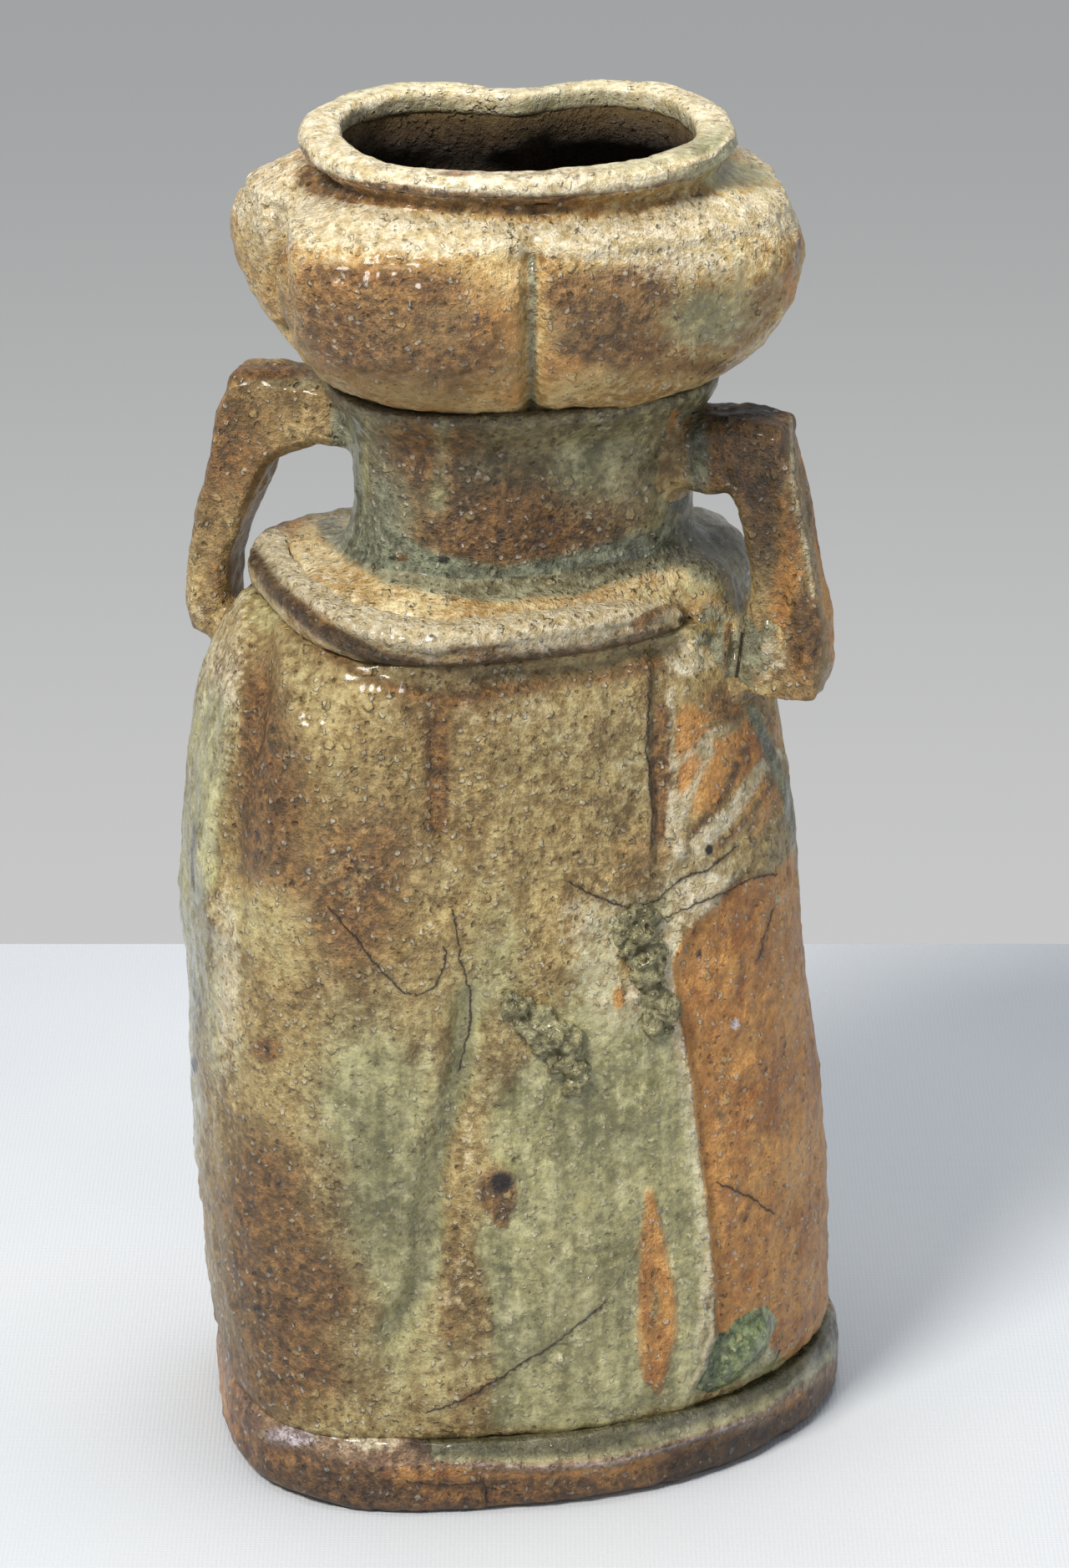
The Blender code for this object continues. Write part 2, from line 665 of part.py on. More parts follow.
def build_lugs():
    """Two bent slabs, each cut to seat on the neck, the shoulder and the wall."""
    shoulder = deck_edge(DECK_FLOOR)
    neighbours = [
        cutter("neck_cutter", NECK_FLARED),
        cutter("bowl_cutter", BOWL_OUTER),
        cutter("wall_cutter", BODY_OUTER),
        cutter("shoulder_cutter", [shoulder, raised(shoulder, DECK_EDGE_TOP)]),
    ]
    left_clay = material("left_lug_clay", (0.30, 0.22, 0.12), 0.70)
    left_sections = lug_sections(LEFT_RUNG_SHARES, -1, LEFT_LUG_STAND)
    cut(add_object("lug_left", loft(left_sections), left_clay), neighbours)
    right_clay = material("right_lug_clay", (0.33, 0.20, 0.10), 0.65)
    right_sections = lug_sections(RIGHT_RUNG_SHARES, 1, RIGHT_LUG_STAND, RIGHT_LUG_SET_BACK)
    cut(add_object("lug_right", loft(right_sections), right_clay), neighbours)


def build_crusts():
    """What the kiln left on the front of the wall: two scabs of grit and a pool of glass."""
    upper_grit = material("upper_grit", (0.30, 0.29, 0.20), 0.90)
    upper = crust_sections(UPPER_SCAB_SHARES, UPPER_SCAB_WIDTH, SCAB_THICKNESS)
    add_object("kiln_scab_upper", loft(upper), upper_grit)
    lower_grit = material("lower_grit", (0.31, 0.30, 0.21), 0.90)
    lower = crust_sections(LOWER_SCAB_SHARES, LOWER_SCAB_WIDTH, SCAB_THICKNESS)
    add_object("kiln_scab_lower", loft(lower), lower_grit)
    pool_glass = material("pool_glass", (0.12, 0.22, 0.08), 0.12)
    add_object("glass_pool", loft(crust_sections(POOL_SHARES, POOL_WIDTH, POOL_THICKNESS)), pool_glass)


build_vessel()
build_lugs()
build_crusts()
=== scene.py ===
# %% [markdown]
# # A lugged flower vase from a wood-fired kiln
#
# The real vase was built by hand from slabs and coils of coarse clay. In the kiln, wood ash
# melted on it into green glass, dry grey crusts and scorched brown patches. This lesson takes
# the plain solids of its members, reads finer skins off them, presses the potter's marks into
# those skins, and then fires them with procedural finishes.

# %% The frame
import json
import math
from typing import NamedTuple

import bmesh
import bpy
import numpy as np
from mathutils import Matrix, Vector
from mathutils.bvhtree import BVHTree

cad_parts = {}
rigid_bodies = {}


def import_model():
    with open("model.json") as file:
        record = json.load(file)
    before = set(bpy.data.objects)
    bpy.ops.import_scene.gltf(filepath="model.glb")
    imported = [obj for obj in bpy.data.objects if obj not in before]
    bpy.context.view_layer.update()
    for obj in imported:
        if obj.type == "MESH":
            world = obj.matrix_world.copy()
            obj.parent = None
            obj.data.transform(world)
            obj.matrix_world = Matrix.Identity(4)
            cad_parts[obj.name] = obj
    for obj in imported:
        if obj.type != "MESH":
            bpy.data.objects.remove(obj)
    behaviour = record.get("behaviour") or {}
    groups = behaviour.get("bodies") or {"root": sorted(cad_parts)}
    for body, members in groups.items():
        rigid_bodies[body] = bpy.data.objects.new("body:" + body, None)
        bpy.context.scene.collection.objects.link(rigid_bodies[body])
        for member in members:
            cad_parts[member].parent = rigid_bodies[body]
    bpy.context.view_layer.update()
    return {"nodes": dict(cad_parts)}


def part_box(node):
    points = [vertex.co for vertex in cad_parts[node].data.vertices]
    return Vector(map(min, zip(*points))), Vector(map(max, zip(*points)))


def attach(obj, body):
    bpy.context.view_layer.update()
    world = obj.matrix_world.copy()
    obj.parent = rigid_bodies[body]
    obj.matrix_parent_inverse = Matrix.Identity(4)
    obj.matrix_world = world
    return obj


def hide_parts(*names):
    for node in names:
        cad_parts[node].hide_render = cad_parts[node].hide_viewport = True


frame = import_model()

# %% [markdown]
# ## The camera
#
# The photograph looks down on the vase by 22.5 degrees through a long lens. The camera is made
# first, because the marks of the fire are placed where its picture shows them: every point of
# a skin can be asked which pixel of the photograph it falls on.

# %% The camera of the photograph
PHOTO_WIDE = 1280
PHOTO_TALL = 1877
FILM_MM = 36.0  # the long side of the film
FOCUS_PIXELS = 6960
CAMERA_DISTANCE = 1.2
CAMERA_DROP = math.radians(22.5)
AIM = np.array([0.0038, -0.0006, 0.142])
TOWARDS = np.array([0.0, math.cos(CAMERA_DROP), -math.sin(CAMERA_DROP)])
ACROSS = np.array([1.0, 0.0, 0.0])
UPWARDS = np.cross(ACROSS, TOWARDS)
EYE = AIM - TOWARDS * CAMERA_DISTANCE

camera_data = bpy.data.cameras.new("camera")
camera_data.sensor_width = FILM_MM
camera_data.lens = FOCUS_PIXELS / PHOTO_TALL * FILM_MM
camera_data.clip_start = 0.01
camera = bpy.data.objects.new("camera", camera_data)
camera.location = EYE
camera.rotation_euler = (math.pi / 2 - CAMERA_DROP, 0, 0)
bpy.context.scene.collection.objects.link(camera)
bpy.context.scene.camera = camera
bpy.context.scene.view_settings.view_transform = "Standard"


def way_of_pixel(x, y):
    """The way in which a pixel looks."""
    right = (x - PHOTO_WIDE / 2) / FOCUS_PIXELS
    down = (y - PHOTO_TALL / 2) / FOCUS_PIXELS
    return TOWARDS + ACROSS * right - UPWARDS * down


def pixels(points):
    """The photograph's pixel that each point falls on, across and down."""
    away = points - EYE
    depth = away @ TOWARDS
    x = PHOTO_WIDE / 2 + FOCUS_PIXELS * (away @ ACROSS) / depth
    y = PHOTO_TALL / 2 - FOCUS_PIXELS * (away @ UPWARDS) / depth
    return x, y


print("lens in millimetres:", round(camera_data.lens, 1))

# %% [markdown]
# ## Reading the solids
#
# A solid of the frame is never changed, but it can be measured. Level rays shot at its axis
# meet its outer face, and rays shot from the axis meet its inner face. The radii that they
# give make a table of bearings and heights, and softening that table takes the facets away.

# %% Rays at the solids
REACH = 0.2  # a ray starts this far from the axis


def solid_tree(*names):
    points = []
    faces = []
    for name in names:
        mesh = frame["nodes"][name].data
        start = len(points)
        points += [vertex.co.copy() for vertex in mesh.vertices]
        faces += [[start + corner for corner in face.vertices] for face in mesh.polygons]
    return BVHTree.FromPolygons(points, faces)


def read_radii(name, heights, columns, from_inside=False, centre=None):
    """Radius of a wall at each height and bearing, and the centre it is measured from."""
    tree = solid_tree(name)
    low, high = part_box(name)
    middle = (low + high) / 2 if centre is None else Vector((*centre, 0))
    bearings = np.arange(columns) * math.tau / columns
    arms = [Vector((math.cos(bearing), math.sin(bearing), 0.0)) for bearing in bearings]
    radii = np.zeros((len(heights), columns))
    for row, height in enumerate(heights):
        axis = Vector((middle.x, middle.y, height))
        for column, arm in enumerate(arms):
            if from_inside:
                hit = tree.ray_cast(axis, arm)[0]
            else:
                hit = tree.ray_cast(axis + arm * REACH, -arm)[0]
            radii[row, column] = (hit - axis).length if hit else radii[row - 1, column]
    return radii, np.array([middle.x, middle.y])


def soften(radii, around, up):
    """Evens the table out, a number of times round the wall and up it."""
    for _ in range(around):
        radii = (np.roll(radii, 1, axis=1) + 2 * radii + np.roll(radii, -1, axis=1)) / 4
    for _ in range(up):
        radii[1:-1] = (radii[:-2] + 2 * radii[1:-1] + radii[2:]) / 4
    return radii


def ring_rows(radii, centre, heights):
    bearings = np.arange(radii.shape[1]) * math.tau / radii.shape[1]
    heights = np.broadcast_to(np.asarray(heights).reshape(len(radii), -1), radii.shape)
    x = centre[0] + radii * np.cos(bearings)
    y = centre[1] + radii * np.sin(bearings)
    return np.stack([x, y, heights], axis=2)


ALL_SOLIDS = solid_tree(*frame["nodes"])
STEP_IN = 4  # pixels


def on_solid(x, y):
    """The point of the solids that a pixel shows. One just off the edge moves in until it hits."""
    place = None
    while place is None:
        way = Vector(way_of_pixel(x, y)).normalized()
        place, outward, _, _ = ALL_SOLIDS.ray_cast(Vector(EYE), way)
        x += math.copysign(STEP_IN, PHOTO_WIDE / 2 - x)
    return np.array(place), np.array(outward)


print("solids measured by rays:", len(frame["nodes"]))

# %% [markdown]
# ## Two ways to make a skin
#
# A wall that goes round the axis is a grid of rings, joined row by row, so its points sit in
# good order and its map for baking is exact. A member that bends, such as a lug, is joined
# with lumps of clay where it meets its neighbours, and a voxel remesh fuses them into one
# closed skin. That is also how the potter does it: wet clay is smeared over every joint.

# %% Skins
BAKE_MAP = "OFBake"


def new_piece(name, mesh):
    piece = bpy.data.objects.new(name, mesh)
    bpy.context.scene.collection.objects.link(piece)
    mesh.shade_smooth()
    return piece


def ring_skin(name, rows, closed=True):
    """A skin over rows of points. A closed one joins its last row to its first."""
    count, columns = rows.shape[:2]
    index = np.arange(count * columns).reshape(count, columns)
    lower = index if closed else index[:-1]
    upper = np.roll(index, -1, axis=0) if closed else index[1:]
    faces = np.stack([lower, np.roll(lower, -1, axis=1), np.roll(upper, -1, axis=1), upper], axis=2)
    faces = faces.reshape(-1, 4)
    mesh = bpy.data.meshes.new(name)
    all_faces = faces.tolist()
    if not closed:
        all_faces += [index[0][::-1].tolist(), index[-1].tolist()]
    mesh.from_pydata(rows.reshape(-1, 3).tolist(), [], all_faces)
    row, column = np.divmod(np.arange(len(faces)), columns)
    u = np.stack([column, column + 1, column + 1, column], axis=1) / columns
    v = np.stack([row, row, row + 1, row + 1], axis=1) / len(lower)
    flat = np.zeros((len(mesh.loops), 2))
    flat[:u.size, 0] = u.ravel()
    flat[:v.size, 1] = v.ravel()
    mesh.uv_layers.new(name=BAKE_MAP).data.foreach_set("uv", flat.ravel())
    return new_piece(name, mesh)


def lump(place, radii):
    """An ellipsoid of clay."""
    builder = bmesh.new()
    bmesh.ops.create_icosphere(builder, subdivisions=3, radius=1.0)
    matrix = Matrix.Translation(Vector(place)) @ Matrix.Diagonal((*radii, 1.0))
    bmesh.ops.transform(builder, matrix=matrix, verts=builder.verts)
    mesh = bpy.data.meshes.new("lump")
    builder.to_mesh(mesh)
    builder.free()
    return mesh


def fused_skin(name, sources, voxel, passes):
    """Joins closed meshes into one by a voxel remesh, and softens the seams."""
    builder = bmesh.new()
    for source in sources:
        builder.from_mesh(source)
    mesh = bpy.data.meshes.new(name + "_raw")
    builder.to_mesh(mesh)
    builder.free()
    raw = new_piece(name + "_raw", mesh)
    remesh = raw.modifiers.new("remesh", "REMESH")
    remesh.mode = "VOXEL"
    remesh.voxel_size = voxel
    relax = raw.modifiers.new("relax", "SMOOTH")
    relax.factor = 0.5
    relax.iterations = passes
    evaluated = raw.evaluated_get(bpy.context.evaluated_depsgraph_get())
    fused = bpy.data.meshes.new_from_object(evaluated)
    bpy.data.objects.remove(raw)
    fused.materials.clear()
    return new_piece(name, fused)


# %% [markdown]
# ## The potter's marks
#
# Noise from a lattice of random values gives the unevenness of the hand and the grit of the
# clay. Marks with a place are drawn as lines in the photograph's pixels: a groove sinks in on
# both sides of its line, and a ledge stands proud on the left of its line and drops on the
# right. They only touch what faces the camera, and fade out where the skin turns away.

# %% Relief
CELL_PRIMES = (73856093, 19349663, 83492791)  # large primes scatter the values of neighbouring cells
SEED_PRIME = 961748941
STIR_PRIME = 1274126177


def lattice(cell, seed):
    """A value from -1 to 1 for each cell, the same on each run."""
    mixed = seed * SEED_PRIME
    for axis, prime in enumerate(CELL_PRIMES):
        mixed = mixed ^ (cell[..., axis] * prime)
    mixed = ((mixed ^ (mixed >> 13)) * STIR_PRIME) & 0x7FFFFFFF
    return ((mixed ^ (mixed >> 15)) & 0xFFFF) / 0xFFFF * 2 - 1


def noise(points, size, seed):
    """Smooth noise from -1 to 1, with lumps of the given size in metres."""
    scaled = points / size
    cell = np.floor(scaled).astype(np.int64)
    part = scaled - cell
    part = part * part * (3 - 2 * part)
    total = np.zeros(len(points))
    for corner in np.ndindex(2, 2, 2):
        weight = np.prod(np.where(np.array(corner) == 1, part, 1 - part), axis=1)
        total += weight * lattice(cell + np.array(corner), seed)
    return total


def layered(points, layers):
    """Noise of several sizes: each layer is its size in metres, its seed and its share."""
    return sum(share * noise(points, size, seed) for size, seed, share in layers)


def points_and_normals(piece):
    count = len(piece.data.vertices)
    points = np.zeros(count * 3)
    normals = np.zeros(count * 3)
    piece.data.vertices.foreach_get("co", points)
    piece.data.vertices.foreach_get("normal", normals)
    return points.reshape(-1, 3), normals.reshape(-1, 3)


def set_points(piece, points):
    piece.data.vertices.foreach_set("co", points.ravel())
    piece.data.update()


FADE_RATE = 6.0  # how fast a mark fades where its skin turns away from the camera
FADE_START = 0.3


def facing(points, normals):
    """1 where a skin faces the camera, 0 where it turns away."""
    sight = points - EYE
    sight /= np.linalg.norm(sight, axis=1, keepdims=True)
    return np.clip(-(normals * sight).sum(axis=1) * FADE_RATE + FADE_START, 0, 1)


def line_distance(x, y, line):
    """Pixels to a drawn line, which side of it (+1 is right, going down), and how far past its ends."""
    best = np.full(x.shape, 1e9)
    side = np.zeros(x.shape)
    past = np.zeros(x.shape)
    for step, ((x0, y0), (x1, y1)) in enumerate(zip(line[:-1], line[1:])):
        length = math.hypot(x1 - x0, y1 - y0)
        way = ((x1 - x0) / length, (y1 - y0) / length)
        along = (x - x0) * way[0] + (y - y0) * way[1]
        kept = np.clip(along, 0, length)
        left_x = x - x0 - kept * way[0]
        left_y = y - y0 - kept * way[1]
        distance = np.hypot(left_x, left_y)
        near = distance < best
        best = np.where(near, distance, best)
        side = np.where(near, np.sign(way[1] * left_x - way[0] * left_y), side)
        over = np.zeros(x.shape)
        if step == 0:
            over = np.maximum(over, -along)
        if step == len(line) - 2:
            over = np.maximum(over, along - length)
        past = np.where(near, over, past)
    return best, side, past


def shifted(line, right, down=0):
    """The same line elsewhere in the picture."""
    return tuple((x + right, y + down) for x, y in line)


class Groove(NamedTuple):
    line: tuple
    wide: float  # pixels
    deep: float  # metres, negative for a ridge

    def rise(self, x, y):
        distance, _, _ = line_distance(x, y, self.line)
        return -self.deep * np.exp(-((distance / self.wide) ** 2))


class Ledge(NamedTuple):
    line: tuple
    wide: float  # pixels over which it fades to the left
    tall: float  # metres
    edge: float = 4.0  # pixels over which it drops to the right

    def rise(self, x, y):
        distance, side, past = line_distance(x, y, self.line)
        drop = 0.5 - 0.5 * np.tanh(side * distance / self.edge)
        return self.tall * drop * np.exp(-distance / self.wide) * np.exp(-((past / self.wide) ** 2))


HAND_WAVES = ((0.024, 1, 1.0), (0.011, 2, 0.5))
GRIT_LUMPS = ((0.0048, 3, 1.0), (0.0026, 4, 0.7), (0.0016, 5, 0.6))


def work_clay(piece, hand, grit, presses=()):
    """Presses the marks into a skin, then roughens it with the hand's waves and the clay's grit."""
    points, normals = points_and_normals(piece)
    x, y = pixels(points)
    front = facing(points, normals)
    rise = hand * layered(points, HAND_WAVES) + grit * layered(points, GRIT_LUMPS)
    for press in presses:
        rise += front * press.rise(x, y)
    set_points(piece, points + normals * rise[:, None])


print("sizes of the hand's waves in metres:", *(size for size, _, _ in HAND_WAVES))
print("sizes of the clay's grit in metres:", *(size for size, _, _ in GRIT_LUMPS))

# %% [markdown]
# ## The fire's marks
#
# Each finish that the kiln left, such as green glass or bare orange clay, is a field on the
# skin with a value from 0 to 1 at every point. Spots, streaks and areas draw it where the
# photograph shows it, patches set it by bearing and height on the sides and the back, and slow
# noise lets it wander. The shader later breaks the soft edges up with finer noise. Two more
# fields darken the colour: soot black, which in a few marks is painted shadow, and painted
# shade where light falls less.

# %% Marks of the fire
FINISHES = ("brown", "cream", "orange", "green", "slate", "violet")
SHADES = ("dark", "shade")  # these two darken whatever finish lies there: "dark" lays soot black, in a few marks as painted shadow, and "shade" is painted shade
PIXELS_PER_MM = FOCUS_PIXELS / CAMERA_DISTANCE / 1000


class Spot(NamedTuple):
    finish: str
    place: tuple
    wide: float
    tall: float
    strength: float = 1.0

    def amount(self, x, y):
        return np.exp(-(((x - self.place[0]) / self.wide) ** 2) - ((y - self.place[1]) / self.tall) ** 2)


class Streak(NamedTuple):
    finish: str
    line: tuple
    wide: float
    strength: float = 1.0

    def amount(self, x, y):
        distance, _, _ = line_distance(x, y, self.line)
        return np.exp(-((distance / self.wide) ** 2))


class Area(NamedTuple):
    finish: str
    outline: tuple
    soft: float
    strength: float = 1.0

    def amount(self, x, y):
        closed = (*self.outline, self.outline[0])
        distance, _, _ = line_distance(x, y, closed)
        inside = np.zeros(x.shape, bool)
        for (x0, y0), (x1, y1) in zip(closed[:-1], closed[1:]):
            if y0 != y1:
                crossed = ((y0 > y) != (y1 > y)) & (x < x0 + (y - y0) * (x1 - x0) / (y1 - y0))
                inside ^= crossed
        return np.clip(0.5 + np.where(inside, distance, -distance) / self.soft / 2, 0, 1)


class Patch(NamedTuple):
    """A patch by bearing and height: for the sides and the back."""

    finish: str
    bearing: float  # degrees, 270 faces the viewer, 90 is the back
    height: float
    round_by: float  # degrees
    tall: float
    strength: float = 1.0

    def around(self, points):
        bearings = np.degrees(np.arctan2(points[:, 1], points[:, 0]))
        away = (bearings - self.bearing + 180) % 360 - 180
        return np.exp(-((away / self.round_by) ** 2) - ((points[:, 2] - self.height) / self.tall) ** 2)


print("finishes:", *FINISHES, "and what darkens them:", *SHADES)

# %% [markdown]
# A skin keeps one value of each finish at every point. Each mark in turn takes away most of
# what lies under it and adds its own finish, as one layer of ash covers another. Cracks are
# kept as a distance in millimetres, so the shader can draw them finer than the skin's grid.

# %% Writing the marks on a skin
TAKEN_FROM_OTHERS = 0.85  # the share of another finish that a full mark covers
TAKEN_FROM_OWN = 0.15
NO_CRACK = 9.0  # millimetres, for a point far from all cracks
CRACK_ENDS = 3.0  # millimetres from its line
CRACK_FADES = 2.0
INNER_DEPTH = 0.010  # over this depth the painted shade inside the hollow grows to its full darkness
INNER_RATE = 5.0  # within a fifth of it the painted shade in the hollow is as dark as the next value says
INNER_SHARE = 0.72
TURNED_RATE = 3.0  # how fast the painted shade grows as a face turns towards the vase's axis
TURNED_LATE = 0.1


def fire(piece, base, marks=(), cracks=(), wander=0.30, gloss=0.0, inner_top=0.0):
    """Writes the finishes, the cracks and the painted shade of the hollow on a skin as named values, one
    for each point.
    """
    points, normals = points_and_normals(piece)
    x, y = pixels(points)
    front = facing(points, normals)
    fields = {}
    for number, finish in enumerate(FINISHES + SHADES):
        fields[finish] = np.full(len(points), base.get(finish, 0.0))
        if finish in base:
            clouds = ((0.035, 20 + number, 1.0), (0.016, 30 + number, 0.6))  # size, seed, weight
            fields[finish] += wander * layered(points, clouds)
    for mark in marks:
        if isinstance(mark, Patch):
            amount = mark.around(points)
        else:
            amount = front * mark.amount(x, y)
        amount = np.clip(amount * mark.strength, 0, 1)
        if mark.finish in SHADES:
            fields[mark.finish] += amount
            continue
        for finish in FINISHES:
            fields[finish] *= 1 - amount * (TAKEN_FROM_OWN if finish == mark.finish else TAKEN_FROM_OTHERS)
        fields[mark.finish] += amount
    nearest = np.full(len(points), NO_CRACK)
    near = np.zeros(len(points))
    for line in cracks:
        distance, side, past = line_distance(x, y, line)
        distance = distance / PIXELS_PER_MM
        closer = distance < np.abs(nearest)
        nearest = np.where(closer, side * distance, nearest)
        beside = np.clip((CRACK_ENDS - distance) / CRACK_FADES, 0, 1)
        near = np.where(closer, beside * np.clip(1 - past / PIXELS_PER_MM, 0, 1), near)
    fields["crack"] = nearest
    fields["crack_near"] = near * front
    fields["gloss"] = np.full(len(points), gloss)
    # painted shade inside the hollow: darker deeper below the top, and where a face turns to the axis
    towards_axis = -(normals * points)[:, :2].sum(axis=1) / np.linalg.norm(points[:, :2], axis=1)
    deep = np.clip((inner_top - points[:, 2]) / INNER_DEPTH, 0, 1)
    dark = np.clip(deep * INNER_RATE, 0, 1) * (INNER_SHARE + (1 - INNER_SHARE) * deep)
    fields["inner"] = np.clip(towards_axis * TURNED_RATE - TURNED_LATE, 0, 1) * dark
    for name, values in fields.items():
        if name != "crack":
            values = np.clip(values, 0, 1)
        layer = piece.data.attributes.new(name, "FLOAT", "POINT")
        layer.data.foreach_set("value", values.astype(np.float32))


print("finishes and shades kept at each point:", len(FINISHES + SHADES))

# %% [markdown]
# ## Shader maths as plain expressions
#
# A material is a graph of nodes. Written as Python, its maths stays readable: a small class
# wraps a socket, and each operator adds the Math node that it stands for. Colours are mixed by
# Mix nodes, because a Math node would turn them grey.

# %% A socket that can be reckoned with
class Value:
    """A socket's value while a finish is built."""

    def __init__(self, finish, socket):
        self.finish = finish
        self.socket = socket

    def reckon(self, operation, *others):
        terms = dict(enumerate((self, *others)))
        return self.finish.node("ShaderNodeMath", {"operation": operation}, terms)

    def __add__(self, other):
        return self.reckon("ADD", other)

    __radd__ = __add__

    def __mul__(self, other):
        return self.reckon("MULTIPLY", other)

    __rmul__ = __mul__

    def __sub__(self, other):
        return self.reckon("SUBTRACT", other)

    def __rsub__(self, other):
        return self.finish.node("ShaderNodeMath", {"operation": "SUBTRACT"}, {0: other, 1: self})

    def size(self):
        return self.reckon("ABSOLUTE")

    def step(self, low, high):
        """0 below low, 1 above high, smooth between."""
        settings = {"interpolation_type": "SMOOTHSTEP"}
        inputs = {"Value": self, "From Min": low, "From Max": high}
        return self.finish.node("ShaderNodeMapRange", settings, inputs)


class Finish:
    """A material under construction."""

    def __init__(self, name):
        self.material = bpy.data.materials.new(name)
        self.material.use_nodes = True
        self.tree = self.material.node_tree
        self.shader = self.tree.nodes["Principled BSDF"]

    def node(self, kind, settings=None, inputs=None, output=0):
        made = self.tree.nodes.new(kind)
        for name, value in (settings or {}).items():
            setattr(made, name, value)
        self.join(made, inputs or {})
        return Value(self, made.outputs[output])

    def join(self, node, inputs):
        for name, value in inputs.items():
            socket = node.inputs[name]
            if isinstance(value, Value):
                self.tree.links.new(value.socket, socket)
            else:
                socket.default_value = value

    def place(self):
        return self.node("ShaderNodeTexCoord", output="Object")

    def noise(self, place, size, detail=3.0, roughness=0.55):
        inputs = {"Vector": place, "Scale": 1 / size, "Detail": detail, "Roughness": roughness}
        return self.node("ShaderNodeTexNoise", {}, inputs)

    def attribute(self, name):
        return self.node("ShaderNodeAttribute", {"attribute_name": name}, output="Fac")

    def vector(self, operation, *parts):
        """Vector maths, part by part."""
        return self.node("ShaderNodeVectorMath", {"operation": operation}, dict(enumerate(parts)))

    def darken(self, colour, value):
        """A colour times a value, which may be above 1."""
        inputs = {0: 1.0, 6: colour, 7: value}
        settings = {"data_type": "RGBA", "blend_type": "MULTIPLY", "clamp_result": True}
        return self.node("ShaderNodeMix", settings, inputs, output=2)

    def mix(self, factor, first, second):
        """A blend of two colours."""
        inputs = {0: factor, 6: first, 7: second}
        return self.node("ShaderNodeMix", {"data_type": "RGBA"}, inputs, output=2)


def tone(red, green, blue):
    """A colour as seen on a screen, 0 to 255, turned into the light that a shader works with."""
    return tuple(((value / 255 + 0.055) / 1.055) ** 2.4 for value in (red, green, blue)) + (1.0,)


print("grey of tone 128 as light:", round(tone(128, 128, 128)[0], 3))

# %% [markdown]
# ## The colours of the fire
#
# These colours are written as the eye sees them on the vase in daylight. The clay's ground is
# coarse ochre. Ash lies on it dry and cream or melted and green, iron in bare clay burns
# orange, and where the flame had little air the surface turned grey, lilac or black. That black
# also serves as painted shadow in a few marks, and two dark browns are painted shade inside the
# hollows.

# %% Colours
SAND = tone(184, 162, 108)
OCHRE = tone(150, 122, 70)
UMBER = tone(108, 84, 46)
SCORCH = tone(66, 42, 24)
SCORCH_LIGHT = tone(146, 102, 52)
ASH = tone(214, 204, 178)
ASH_WARM = tone(190, 168, 116)
RUST = tone(152, 94, 42)
ORANGE = tone(210, 152, 80)
LEAF_DARK = tone(106, 108, 68)
LEAF = tone(158, 155, 106)
LEAF_PALE = tone(200, 196, 148)
FILM_DARK = tone(58, 66, 50)
FILM = tone(136, 142, 116)
LILAC = tone(204, 192, 196)
LILAC_DARK = tone(140, 118, 112)
SOOT_AND_SHADOW = tone(30, 21, 14)
# painted shade inside the hollows: the deep shade and the softer shade near the top
INNER_SHADE_DEEP = tone(30, 15, 6)
INNER_SHADE_SOFT = tone(74, 56, 25)
GROUND = (UMBER, OCHRE, SAND)  # a clay's dark, middle and pale tone
print("soot and dry ash as light:", SOOT_AND_SHADOW[:3], ASH[:3])

# %% [markdown]
# ## The fired clay
#
# One finish serves every member, because they all went through one fire. It rests on six
# noises, from broad clouds down to grit. One of them is drawn out downwards, as melted ash
# runs. Together they fray the soft edges of the fields, so a mark ends as crumbs and runs.

# %% Noises of the clay
RUNS_DRAWN = (1.0, 1.0, 0.14)  # height counts for little, so this noise is drawn out into runs
WOBBLE_SIZE = 0.0014
WOBBLE = 0.0018  # how far the outline of a crumb strays


class FiredClay(Finish):
    """Coarse clay with the noises that all its marks share."""

    def __init__(self, name):
        super().__init__(name)
        place = self.place()
        drawn = self.vector("MULTIPLY", place, RUNS_DRAWN)
        self.broad = self.noise(place, 0.018, 4.0)
        self.middle = self.noise(place, 0.0056, 5.0, 0.65)
        self.small = self.noise(place, 0.0019, 4.0, 0.7)
        self.tiny = self.noise(place, 0.0008, 3.0, 0.7)
        self.other = self.noise(place, 0.0031, 4.0, 0.7)
        self.runs = self.noise(drawn, 0.0044, 4.0, 0.6)
        self.ragged = self.middle * 0.34 + self.small * 0.46 + self.runs * 0.20 - 0.5
        stray = {"Vector": place, "Scale": 1 / WOBBLE_SIZE, "Detail": 2.0}
        wobble = self.node("ShaderNodeTexNoise", {}, stray, output="Color")
        self.shaken = self.vector("MULTIPLY_ADD", wobble, (WOBBLE, WOBBLE, WOBBLE), place)

    def laid(self, finish, reach=1.3, soft=0.20):
        """Where a finish lies: its soft field, broken up along its edge."""
        return (self.attribute(finish) + self.ragged * reach).step(0.5 - soft, 0.5 + soft)


print("size of a crumb's wobble in metres:", WOBBLE)

# %% [markdown]
# The finishes lie on each other in the order in which the kiln laid them: over the ground come
# scorched brown, dry cream ash and bare orange clay, then green glass, grey-green film, lilac
# bloom and black specks, which in a few marks are painted shadow. Each is a blend of two or
# three tones of its own.

